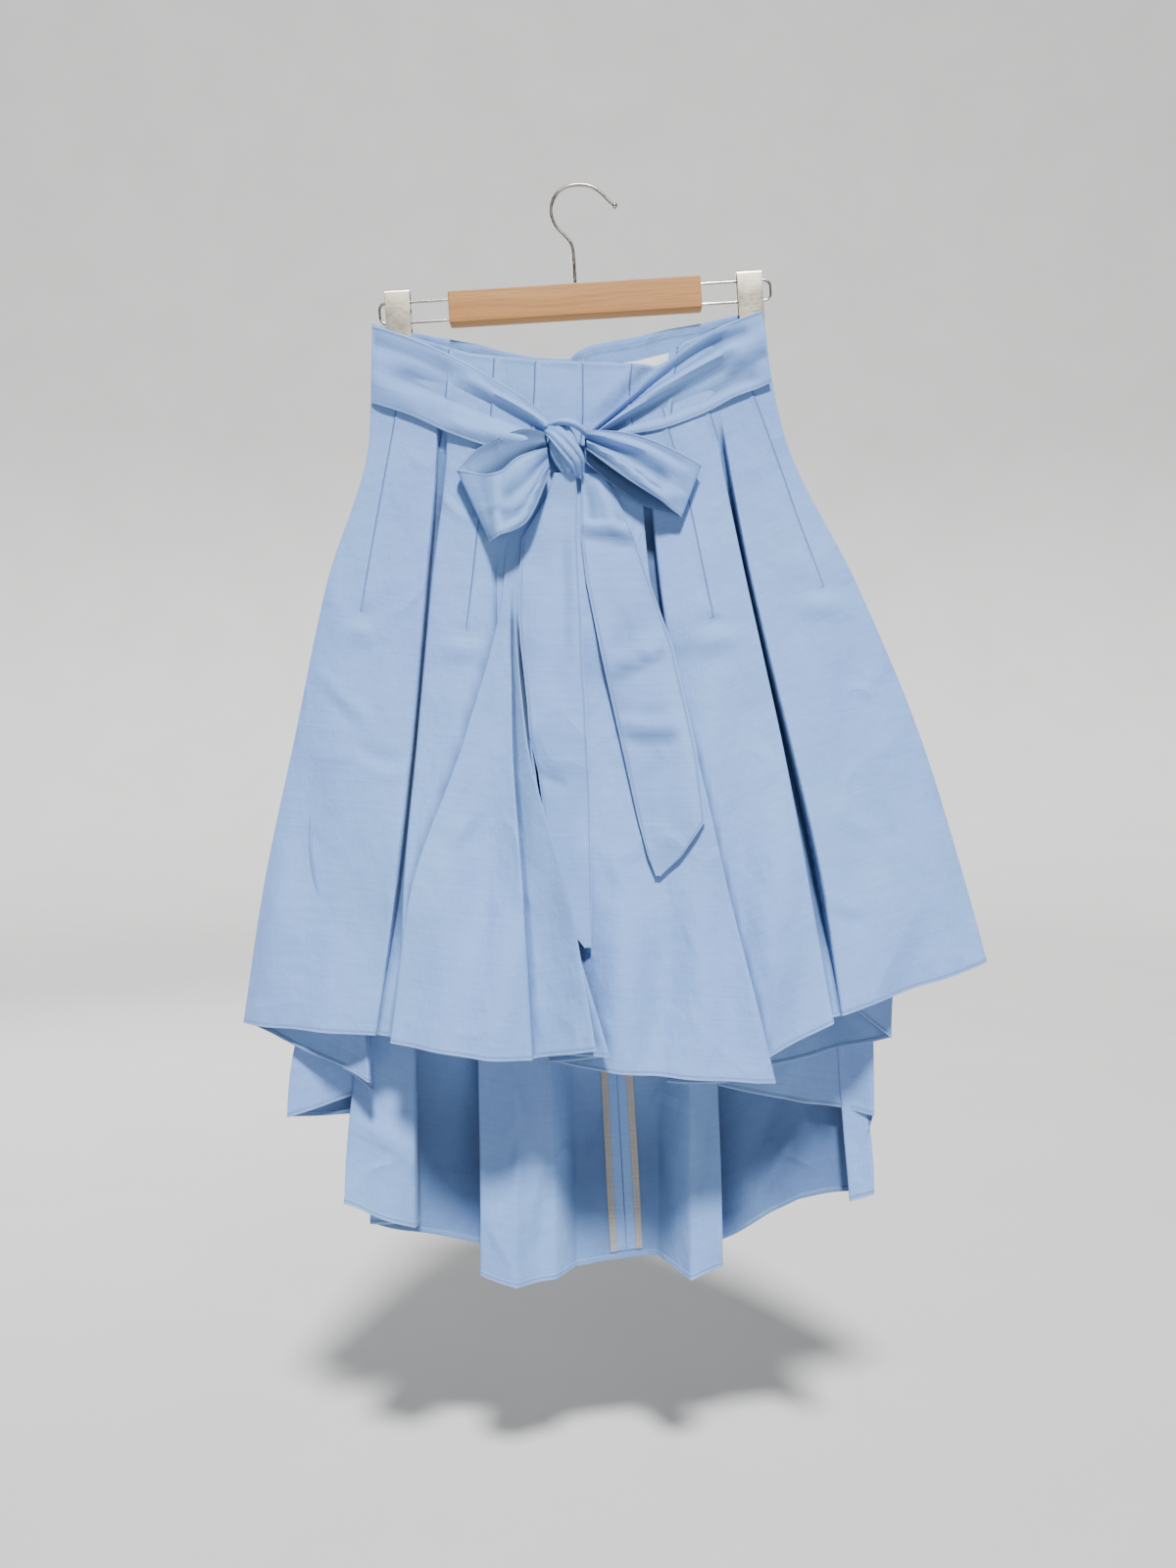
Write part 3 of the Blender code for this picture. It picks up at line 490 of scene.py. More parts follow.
def tube_mesh(rings: Array) -> tuple[Array, list[Sequence[int]]]:
    """Closed tube through rings of points.

    Args:
        rings: rings by points by 3, all the same way round.

    Returns:
        Points and faces, with both ends capped.
    """
    count, around = rings.shape[:2]
    faces: list[Sequence[int]] = [
        (i + j, i + (j + 1) % around, i + around + (j + 1) % around, i + around + j)
        for i in range(0, (count - 1) * around, around) for j in range(around)]
    faces.append(list(range(around))[::-1])
    faces.append([(count - 1) * around + j for j in range(around)])
    return rings.reshape(-1, 3), faces


def fix_outward(piece: Piece) -> None:
    """Turn the faces of closed parts outwards.

    Args:
        piece: a mesh of closed parts.
    """
    work = bmesh.new()
    work.from_mesh(piece.data)
    bmesh.ops.recalc_face_normals(work, faces=work.faces[:])
    work.to_mesh(piece.data)
    work.free()


def add_tube(name: str, rings: Any, material: Material, sharp: float, uv: Array | None = None,
             deep: Array | None = None) -> Piece:
    """Closed solid through rings of points.

    Args:
        name: name of the piece.
        rings: rings by points by 3.
        material: its finish.
        sharp: angle of a sharp edge in degrees.
        uv: cloth coordinates of each point.
        deep: painted shade of each point in a groove.

    Returns:
        The object, with its faces outwards.
    """
    points, faces = tube_mesh(np.array(rings))
    edge = None if deep is None else np.zeros(len(points))
    made = add_mesh(name, points, faces, material, sharp, uv, edge, deep)
    fix_outward(made)
    return made


def wire_rings(path: Array, radius: Any, around: int = 14) -> Array:
    """Round rings along a path.

    Args:
        path: points of the centre line.
        radius: radius of the wire, a number or one for each point.
        around: points in each ring.

    Returns:
        Rings by points by 3.
    """
    tangent = np.gradient(path, axis=0)
    tangent /= np.linalg.norm(tangent, axis=1)[:, None]
    normal = np.cross(tangent[0], (0.0, 1.0, 0.0))
    if np.linalg.norm(normal) < 0.1:
        normal = np.cross(tangent[0], (1.0, 0.0, 0.0))
    turn = np.linspace(0, 2 * math.pi, around, endpoint=False)
    sizes = np.broadcast_to(radius, len(path))
    rings = []
    for point, way, size in zip(path, tangent, sizes):
        normal = normal - way * (normal @ way)
        normal /= np.linalg.norm(normal)
        side = np.cross(way, normal)
        rings.append(point + size * (np.cos(turn)[:, None] * normal + np.sin(turn)[:, None] * side))
    return np.array(rings)


def add_wire(name: str, path: Array, radius: Any, material: Material, around: int = 14) -> Piece:
    """Piece that is a wire along a path, with its radius as one number or one for each point."""
    points, faces = tube_mesh(wire_rings(path, radius, around))
    return add_mesh(name, points, faces, material, 60.0)


# ---------------- finishes
# Cloth colour, its random deeper tint, the painted highlight colour on pressed edges and the painted shade
# colour for grooves, pleats and hollows.
BLUE = ((0.180, 0.333, 0.650, 1.0), (0.170, 0.296, 0.635, 1.0), (0.32, 0.46, 0.73, 1.0),
        (0.032, 0.068, 0.172, 1.0))


class Nodes:
    """Nodes of one tree, with short ways to add and link them."""

    def __init__(self, tree: bpy.types.NodeTree) -> None:
        """Work on a tree."""
        self.tree = tree

    def node(self, kind: str, inputs: dict[Any, Any] | None = None, **settings: Any) -> bpy.types.Node:
        """Add a node.

        Args:
            kind: Blender's name of the node type.
            inputs: value or source socket for each named or numbered input.
            settings: properties of the node.

        Returns:
            The node.
        """
        made = self.tree.nodes.new(kind)
        for key, value in settings.items():
            setattr(made, key, value)
        for key, value in (inputs or {}).items():
            self.feed(made.inputs[key], value)
        return made

    def feed(self, socket: Socket, value: Any) -> None:
        """Link a source to a socket, or set its value.

        Args:
            socket: the input.
            value: a source socket or a plain value.
        """
        if isinstance(value, Socket):
            self.tree.links.new(value, socket)
        else:
            socket.default_value = value


class Graph(Nodes):
    """Shader nodes of one finish."""

    def __init__(self, name: str) -> None:
        """Start an empty finish.

        Args:
            name: name of the material.
        """
        self.material = bpy.data.materials.new(name)
        self.material.use_nodes = True
        super().__init__(self.material.node_tree)
        self.shader = self.tree.nodes["Principled BSDF"]

    def place(self) -> Socket:
        """Coordinates of the object."""
        return self.node("ShaderNodeTexCoord").outputs["Object"]

    def rub(self, low: float, high: float, share: float) -> Socket:
        """Share of outward edges, from the surface's pointiness."""
        return self.span(self.node("ShaderNodeNewGeometry").outputs["Pointiness"], low, high, 0.0, share)

    def total(self, *parts: tuple[Any, float]) -> Socket:
        """Weighted sum.

        Args:
            parts: each value and its weight.

        Returns:
            The sum.
        """
        run = self.math("MULTIPLY", *parts[0])
        for part in parts[1:]:
            run = self.math("ADD", run, self.math("MULTIPLY", *part))
        return run

    def finish(self, inputs: dict[str, Any]) -> Material:
        """Feed the shader.

        Args:
            inputs: source or plain value for each of its sockets.

        Returns:
            The finished material.
        """
        for key, value in inputs.items():
            self.feed(self.shader.inputs[key], value)
        return self.material

    def math(self, how: str, a: Any, b: Any = 0.0) -> Socket:
        """Result of a math node on a and b."""
        return self.node("ShaderNodeMath", {0: a, 1: b}, operation=how).outputs[0]

    def mix(self, factor: Any, a: Any, b: Any, blend: str = "MIX") -> Socket:
        """Blend of two colours, with factor as the share of b."""
        made = self.node("ShaderNodeMix", {0: factor, 6: a, 7: b}, data_type="RGBA", blend_type=blend)
        return made.outputs[2]

    def noise(self, vector: Socket, scale: Sequence[float], detail: float = 2.0,
              rough: float = 0.5) -> Socket:
        """Noise with its own scale along each axis.

        Args:
            vector: coordinates.
            scale: repeats to the metre along each axis.
            detail: levels of detail.
            rough: roughness of the detail.

        Returns:
            The noise's value, about 0.5 in the middle.
        """
        sized = self.node("ShaderNodeMapping", {"Vector": vector, "Scale": tuple(scale)})
        made = self.node("ShaderNodeTexNoise", {"Vector": sized.outputs[0], "Scale": 1.0,
                                                "Detail": detail, "Roughness": rough})
        return made.outputs[0]

    def span(self, value: Any, low: float, high: float, to_low: float = 0.0,
             to_high: float = 1.0) -> Socket:
        """Value moved from one range to another, and held at its ends."""
        return self.node("ShaderNodeMapRange", {0: value, 1: low, 2: high, 3: to_low,
                                                4: to_high}).outputs[0]

    def bump(self, height: Any, depth: float, strength: float = 1.0) -> None:
        """Give the shader a bump from a height of 0 to 1 that is depth metres deep."""
        made = self.node("ShaderNodeBump", {"Height": height, "Distance": depth, "Strength": strength})
        self.feed(self.shader.inputs["Normal"], made.outputs[0])


@dataclass(frozen=True)
class WovenFinish:
    """Plain woven cloth: threads, slubs, a slight sheen, a painted highlight on pressed edges and painted
    shade in grooves and pleats.
    """

    name: str
    colour: Colour
    deep: Colour
    # painted highlight colour for pressed edges, then painted shade colour for grooves, pleats and hollows
    edge_highlight: Colour
    groove: Colour
    thread: float = 0.00062
    slub: float = 0.5
    sheen: float = 0.08
    rough: float = 0.6
    gloss: float = 0.22
    rumple: float = 30.0
    crinkle: float = 6.0

    def build(self) -> Material:
        """Make the material.

        Returns:
            The material, which reads the uv map cloth and the attributes edge and deep.
        """
        g = Graph(self.name)
        uv = g.node("ShaderNodeUVMap", uv_map="cloth").outputs[0]
        place = g.place()
        weft, warp = (g.node("ShaderNodeTexWave", {
            "Vector": uv, "Scale": WAVE_BAND / self.thread * share, "Distortion": 0.6, "Detail": 1.0},
            bands_direction=way).outputs[1] for way, share in (("Y", 1.0), ("X", 0.8)))
        slubs = g.noise(uv, (45, 900, 1), 3.0, 0.6)
        long_slubs = g.noise(uv, (14, 420, 1), 2.0)
        lengthways = g.noise(uv, (700, 30, 1), 2.0)
        cloud = g.noise(place, (9, 9, 6), 3.0)
        rumple = g.noise(place, (24, 24, 15), 5.0, 0.52)
        line = g.math("ABSOLUTE", g.math("SUBTRACT", g.noise(place, (13, 13, 9), 1.5, 0.4), 0.5))
        crinkle = g.math("MULTIPLY", g.span(line, 0.0, 0.055, 1.0, 0.0),
                         g.span(g.noise(place, (15, 15, 15), 1.0), 0.44, 0.6))
        tint = g.mix(g.span(cloud, 0.32, 0.68), self.deep, self.colour)
        streak = g.math("ADD", g.span(slubs, 0.3, 0.7, -0.5, 0.5),
                        g.span(long_slubs, 0.35, 0.65, -0.5, 0.5))
        streak = g.math("ADD", streak, g.span(lengthways, 0.3, 0.7, -0.25, 0.25))
        lively = g.node("ShaderNodeHueSaturation", {
            "Hue": 0.5, "Saturation": 1.0, "Color": tint,
            "Value": g.math("ADD", 1.0, g.math("MULTIPLY", streak, 0.12 * self.slub))}).outputs[0]
        # The attribute deep carries painted shade for grooves, pleats and hollows, and mixes the base colour
        # towards the painted shade colour.
        edge, groove = (g.node("ShaderNodeAttribute", attribute_name=name).outputs["Fac"]
                        for name in ("edge", "deep"))
        # painted highlight: the edge attribute lightens pressed edges, hems and seams, and roughens them a
        # little
        highlight_share = g.math("MULTIPLY", g.math("POWER", edge, 3.0), g.span(slubs, 0.35, 0.6, 0.3, 0.8))
        sewn = g.mix(g.math("MULTIPLY", groove, 0.8), g.mix(highlight_share, lively, self.edge_highlight), self.groove)
        rough = g.math("ADD", g.span(rumple, 0.3, 0.7, self.rough - 0.05, self.rough + 0.06),
                       g.math("MULTIPLY", highlight_share, 0.1))
        g.bump(g.total((weft, 0.35), (warp, 0.22), (slubs, 0.8), (rumple, self.rumple),
                       (crinkle, self.crinkle)), 0.00022, 0.8)
        return g.finish({"Base Color": sewn, "Roughness": rough, "Sheen Weight": self.sheen,
                         "Sheen Roughness": 0.45, "Specular IOR Level": self.gloss})


@dataclass(frozen=True)
class ThreadFinish:
    """Sewing thread: two plies that catch the light."""

    name: str
    colour: Colour
    shade: Colour

    def build(self) -> Material:
        """Make the material.

        Returns:
            The material, on Object coordinates.
        """
        g = Graph(self.name)
        place = g.place()
        ply = g.noise(place, (2600, 2600, 2600), 1.0)
        patch = g.noise(place, (60, 60, 60), 2.0)
        mixed = g.mix(g.span(ply, 0.35, 0.65), self.shade, self.colour)
        base = g.mix(g.span(patch, 0.3, 0.7, 0.0, 0.3), mixed, self.shade)
        rough = g.span(patch, 0.3, 0.7, 0.5, 0.65)
        g.bump(ply, 0.0001, 0.6)
        return g.finish({"Base Color": base, "Roughness": rough, "Sheen Weight": 0.25})


@dataclass(frozen=True)
class TimberFinish:
    """Sanded pale timber with its grain along one axis."""

    name: str
    early: Colour
    late: Colour
    pore: Colour
    turn: float

    def build(self) -> Material:
        """Make the material.

        Returns:
            The material, with its grain turned to the bar's tilt.
        """
        g = Graph(self.name)
        along = g.node("ShaderNodeMapping", {
            "Vector": g.place(), "Rotation": (0.0, self.turn, 0.0)}).outputs[0]
        bend = g.noise(along, (7, 30, 40), 2.0)
        shifted = g.node("ShaderNodeVectorMath", {0: along, 1: g.node(
            "ShaderNodeCombineXYZ", {"Z": g.math("MULTIPLY", bend, 0.014)}).outputs[0]}).outputs[0]
        rings = g.noise(shifted, (3, 150, 260), 3.0, 0.6)
        fine = g.noise(along, (22, 900, 900), 3.0, 0.65)
        flecks = g.noise(along, (130, 1600, 2600), 1.0)
        wide = g.noise(along, (9, 40, 60), 2.0)
        base = g.mix(g.span(rings, 0.36, 0.64), self.early, self.late)
        base = g.mix(g.span(wide, 0.3, 0.7, 0.0, 0.35), base, self.late)
        base = g.mix(g.span(fine, 0.5, 0.72, 0.0, 0.35), base, self.pore)
        pores = g.span(flecks, 0.66, 0.74)
        base = g.mix(g.math("MULTIPLY", pores, 0.45), base, self.pore)
        base = g.mix(g.rub(0.51, 0.58, 0.35), base, self.early)
        rough = g.span(fine, 0.3, 0.7, 0.5, 0.64)
        g.bump(g.math("SUBTRACT", g.math("MULTIPLY", fine, 0.6), pores), 0.00012, 0.6)
        return g.finish({"Base Color": base, "Roughness": rough, "Specular IOR Level": 0.35})


@dataclass(frozen=True)
class PlateFinish:
    """Satin nickel plate, brushed one way, with slight tarnish and a painted highlight on its outward edges.
    """

    name: str
    colour: Colour
    tarnish: Colour
    stretch: Point3
    rough: float = 0.32
    plate_edge_highlight: Colour = (0.93, 0.91, 0.87, 1.0)

    def build(self) -> Material:
        """Make the material.

        Returns:
            The material, on Object coordinates.
        """
        g = Graph(self.name)
        place = g.place()
        brush = g.noise(place, self.stretch, 3.0, 0.7)
        cloud = g.noise(place, (70, 70, 70), 4.0, 0.6)
        specks = g.noise(place, (900, 900, 900), 2.0)
        base = g.mix(g.span(cloud, 0.45, 0.75, 0.0, 0.6), self.colour, self.tarnish)
        base = g.mix(g.span(specks, 0.68, 0.76, 0.0, 0.5), base, self.tarnish)
        # painted highlight on outward edges
        base = g.mix(g.rub(0.51, 0.6, 0.5), base, self.plate_edge_highlight)
        rough = g.math("ADD", g.span(brush, 0.3, 0.7, self.rough - 0.06, self.rough + 0.08),
                       g.span(cloud, 0.4, 0.8, 0.0, 0.12))
        g.bump(brush, 0.00001, 0.3)
        return g.finish({"Base Color": base, "Roughness": rough, "Metallic": 1.0})


@dataclass(frozen=True)
class DabFinish:
    """Plain moulded or painted stuff with a fine mottle: the rubber pads and the floor."""

    name: str
    colour: Colour
    other: Colour
    scale: float
    depth: float
    rough: float = 0.7

    def build(self) -> Material:
        """Make the material.

        Returns:
            The material, on Object coordinates.
        """
        g = Graph(self.name)
        mottle = g.noise(g.place(), (self.scale,) * 3, 4.0, 0.6)
        base = g.mix(g.span(mottle, 0.3, 0.7), self.colour, self.other)
        rough = g.span(mottle, 0.3, 0.7, self.rough - 0.05, self.rough + 0.05)
        g.bump(mottle, self.depth, 0.5)
        return g.finish({"Base Color": base, "Roughness": rough})


@dataclass
class Wardrobe:
    """Every finish of the object, made once."""

    cloth: Material = field(default_factory=WovenFinish("sky_poplin", *BLUE).build)
    ribbon: Material = field(default_factory=WovenFinish(
        "sky_poplin_doubled", *BLUE, thread=0.00058, slub=0.6, rumple=12.0).build)
    tape: Material = field(default_factory=WovenFinish(
        "bias_tape", (0.35, 0.325, 0.295, 1.0), (0.30, 0.28, 0.255, 1.0), (0.46, 0.43, 0.40, 1.0),
        (0.20, 0.18, 0.16, 1.0), thread=0.0005, slub=1.2, rough=0.75, gloss=0.2, rumple=3.0).build)
    label: Material = field(default_factory=WovenFinish(
        "woven_label", (0.80, 0.80, 0.78, 1.0), (0.74, 0.74, 0.73, 1.0), (0.85, 0.85, 0.84, 1.0),
        (0.5, 0.5, 0.5, 1.0), thread=0.0004, slub=0.8, sheen=0.2, rough=0.5, rumple=3.0).build)
    thread: Material = field(default_factory=ThreadFinish(
        "dark_thread", (0.09, 0.15, 0.31, 1.0), (0.05, 0.09, 0.20, 1.0)).build)
    pale_thread: Material = field(default_factory=ThreadFinish(
        "pale_thread", (0.42, 0.54, 0.76, 1.0), (0.20, 0.32, 0.58, 1.0)).build)
    timber: Material = field(default_factory=TimberFinish(
        "beech", (0.42, 0.21, 0.062, 1.0), (0.315, 0.138, 0.038, 1.0), (0.14, 0.055, 0.018, 1.0),
        BAR_TILT).build)
    wire: Material = field(default_factory=PlateFinish(
        "nickel_wire", (0.30, 0.27, 0.22, 1.0), (0.18, 0.155, 0.12, 1.0), (500, 500, 500), 0.25).build)
    plate: Material = field(default_factory=PlateFinish(
        "nickel_plate", (0.62, 0.57, 0.46, 1.0), (0.42, 0.375, 0.28, 1.0), (260, 260, 2600)).build)
    rubber: Material = field(default_factory=DabFinish(
        "rubber", (0.72, 0.72, 0.70, 1.0), (0.62, 0.62, 0.60, 1.0), 900.0, 0.00005).build)


# ---------------- creases
@dataclass(frozen=True)
class Crease:
    """Soft ridge, or trough where the rise is negative, along a line on one face of the cloth."""

    path: Path2
    half: float
    rise: float

    def lift(self, x: Array, z: Array) -> Array:
        """How far the crease moves the cloth outwards.

        Args:
            x: places on the cloth.
            z: their heights.

        Returns:
            Outward moves in millimetres.
        """
        near = np.full(x.shape, 1e9)
        share = np.zeros(x.shape)
        line = np.array(self.path, float)
        run = run_along(line)
        for i, (a, b) in enumerate(zip(line[:-1], line[1:])):
            d = b - a
            t = np.clip(((x - a[0]) * d[0] + (z - a[1]) * d[1]) / (d @ d), 0, 1)
            off = np.hypot(x - a[0] - d[0] * t, z - a[1] - d[1] * t)
            closer = off < near
            near = np.where(closer, off, near)
            share = np.where(closer, (run[i] + t * (run[i + 1] - run[i])) / run[-1], share)
        fade = np.sin(np.pi * np.clip(share, 0, 1)) ** 0.6
        return self.rise * fade * np.exp(-(near / self.half) ** 2)


@dataclass(frozen=True)
class Puff:
    """Rounded swelling, or hollow where the rise is negative."""

    x: float
    z: float
    wide: float
    high: float
    rise: float
    turn: float = 0.0

    def lift(self, x: Array, z: Array) -> Array:
        """How far the swelling moves the cloth outwards.

        Args:
            x: places on the cloth.
            z: their heights.

        Returns:
            Outward moves in millimetres.
        """
        c, s = math.cos(self.turn), math.sin(self.turn)
        u = ((x - self.x) * c + (z - self.z) * s) / self.wide
        w = ((z - self.z) * c - (x - self.x) * s) / self.high
        return self.rise * np.exp(-u * u - w * w)


DARTS: tuple[Path2, ...] = (
    ((-153, -150), (-157, -196), (-173, -289), (-186, -369)),
    ((-73, -152), (-74, -168), (-78, -230), (-86, -295), (-91, -341), (-96, -385)),
    ((70, -195), (76, -216), (92, -275), (105, -341), (112, -375)),
    ((140, -160), (147, -180), (170, -243), (186, -290), (207, -347)),
)
TUCKS: tuple[Path2, ...] = (
    ((-112, -144), (-114, -180), (-119, -214), (-121, -229)),
    ((-38, -155), (-39, -185), (-42, -225)),
    ((2, -157), (2, -202), (0, -228)),
    ((44, -157), (42, -183), (46, -225), (53, -262)),
    ((83, -141), (80, -170), (77, -205)),
    ((108, -190), (111, -200), (118, -222)),
)
FRONT_RELIEF: tuple[Crease | Puff, ...] = (
    Crease(((-223, -415), (-234, -482), (-244, -540), (-256, -598), (-266, -652), (-275, -730)), 5, 2.0),
    Crease(((-238, -404), (-219, -423), (-190, -452), (-170, -470)), 6, 2.2),
    Crease(((-232, -424), (-210, -445), (-186, -470)), 6, -1.5),
    Crease(((-232, -490), (-204, -494), (-182, -486)), 5, 1.6),
    Crease(((-190, -484), (-166, -495), (-143, -496)), 5, -2.0),
    Crease(((-190, -496), (-166, -506), (-143, -507)), 5, 1.2),
    Crease(((-212, -300), (-198, -330), (-196, -365)), 10, -1.6),
    Crease(((-186, -560), (-192, -620), (-200, -700)), 8, -1.8),
    Crease(((-106, -567), (-93, -549), (-82, -530)), 5, 1.5),
    Crease(((-104, -718), (-85, -714), (-66, -708)), 5, 1.6),
    Crease(((-64, -470), (-78, -520), (-84, -560)), 9, 1.5),
    Crease(((60, -560), (66, -640), (64, -710), (56, -800)), 17, -9.0),
    Crease(((92, -580), (100, -660), (108, -780)), 14, 4.5),
    Crease(((22, -600), (28, -680), (30, -790)), 12, 3.5),
    Crease(((118, -540), (128, -620), (140, -720)), 12, 2.2),
    Crease(((146, -600), (153, -643), (162, -700)), 8, 2.0),
    Crease(((262, -402), (250, -423), (236, -444)), 5, 1.8),
    Crease(((277, -468), (261, -484), (245, -494)), 5, 1.7),
    Crease(((286, -600), (277, -636), (266, -662)), 6, 2.0),
    Crease(((200, -606), (218, -616), (240, -620)), 6, 1.9),
    Crease(((206, -620), (222, -630), (240, -634)), 6, -1.5),
    Crease(((246, -500), (256, -560), (262, -640)), 9, -2.2),
    Crease(((226, -520), (238, -590), (246, -640)), 9, 1.5),
    Crease(((-160, -560), (-168, -620), (-180, -700)), 12, -1.2),
    Crease(((-60, -600), (-66, -660), (-72, -740)), 12, 2.4),
    Crease(((-122, -620), (-128, -690), (-134, -745)), 11, -2.2),
    Crease(((14, -480), (22, -560), (26, -640)), 10, -1.6),
    Puff(-188, -386, 16, 9, 3.4), Puff(-186, -371, 6, 4, -1.9), Puff(-176, -352, 9, 14, 1.3),
    Puff(-98, -402, 17, 9, 3.4), Puff(-96, -388, 6, 4, -1.9), Puff(-84, -372, 8, 14, 1.3),
    Puff(114, -394, 20, 9, 4.0, 0.2), Puff(113, -378, 7, 4, -2.1, 0.2), Puff(126, -366, 8, 14, 1.3),
    Puff(206, -364, 17, 8, 4.6, 0.1), Puff(208, -350, 6, 4, -1.9, 0.1), Puff(196, -334, 9, 14, 1.3),
    Puff(-150, -250, 20, 44, 2.0), Puff(-100, -270, 12, 44, 1.9), Puff(146, -245, 12, 40, 1.7),
    Puff(92, -245, 11, 34, 1.5), Puff(-20, -178, 13, 26, 1.4), Puff(22, -178, 13, 26, 1.4),
    Puff(62, -180, 12, 22, 1.2), Puff(-56, -172, 12, 22, 1.4), Puff(-92, -166, 12, 22, 1.2),
    Crease(((10, -214), (36, -188), (56, -166), (74, -149), (83, -140)), 6, -4.2),
    Crease(((0, -205), (26, -184), (46, -162), (62, -152)), 7, 1.6),
)
BACK_RELIEF: tuple[Crease | Puff, ...] = (
    Crease(((-200, -808), (-176, -816), (-158, -824), (-138, -852)), 7, -4.0),
    Crease(((-24, -850), (-30, -880), (-36, -935)), 6, 3.2),
    Crease(((-92, -770), (-86, -830), (-90, -890)), 6, -2.4),
    Crease(((-76, -790), (-60, -830), (-70, -890)), 6, 2.6),
    Crease(((-62, -760), (-46, -812), (-56, -865)), 5, -2.4),
    Crease(((-40, -800), (-30, -850), (-34, -900)), 5, 1.8),
    Crease(((-8, -760), (8, -810), (-2, -850), (10, -905)), 8, 2.6),
    Crease(((60, -780), (74, -830), (80, -890)), 7, -2.4),
    Crease(((96, -770), (110, -820), (104, -880)), 7, 2.2),
    Crease(((208, -800), (186, -836), (172, -862), (150, -905)), 6, -3.6),
    Crease(((196, -760), (176, -800), (150, -850)), 8, 2.2),
    Crease(((-150, -560), (-140, -640), (-150, -700)), 14, 2.4),
    Crease(((-60, -420), (-52, -520), (-60, -620)), 16, -2.6),
    Crease(((60, -380), (72, -470), (66, -580)), 16, 2.6),
    Crease(((150, -420), (168, -520), (180, -600)), 14, -2.4),
    Crease(((-196, -416), (-176, -436), (-156, -440)), 5, 1.7),
    Crease(((106, -498), (124, -512), (146, -510)), 5, -1.7),
    Crease(((-30, -300), (-18, -330), (-22, -380)), 9, 1.6),
    Crease(((10, -600), (-6, -640), (-24, -650)), 6, 1.6),
    Crease(((200, -560), (214, -600), (236, -610)), 6, 1.7),
    Puff(-90, -260, 20, 40, 2.0), Puff(60, -255, 20, 40, 2.0), Puff(120, -300, 14, 30, 1.6),
    Puff(-40, -240, 14, 30, 1.5), Puff(-140, -300, 16, 34, 1.6),
)


@dataclass(frozen=True)
class Drape:
    """Relief of one face: its creases and swellings over a slow uneven wave."""

    side: Side
    relief: tuple[Crease | Puff, ...]
    wave: float
    seed: int
    lengths: Path1 = (150.0, 104.0, 71.0, 52.0)

    def lift(self, x: Array, z: Array, share: Array) -> Array:
        """Outward move of the cloth.

        Args:
            x: places on the cloth.
            z: their heights.
            share: 1 in the middle of the face and 0 at its side seams.

        Returns:
            Outward moves in millimetres.
        """
        draw = np.random.default_rng(self.seed)
        total = np.zeros(x.shape)
        for length in self.lengths:
            lean, phase, slow = draw.uniform(-0.25, 0.25), draw.uniform(0, 6.28), draw.uniform(330, 560)
            swing = np.sin(2 * math.pi * z / slow + draw.uniform(0, 6.28))
            total += length / self.lengths[0] * np.sin(2 * math.pi * (x + lean * z) / length + phase + swing)
        total *= self.wave * looseness(z)
        for item in self.relief:
            total += item.lift(x, z)
        return total * share


FRONT_DRAPE = Drape(Side.FRONT, FRONT_RELIEF, 3.8, 5)
BACK_DRAPE = Drape(Side.BACK, BACK_RELIEF, 3.2, 11)


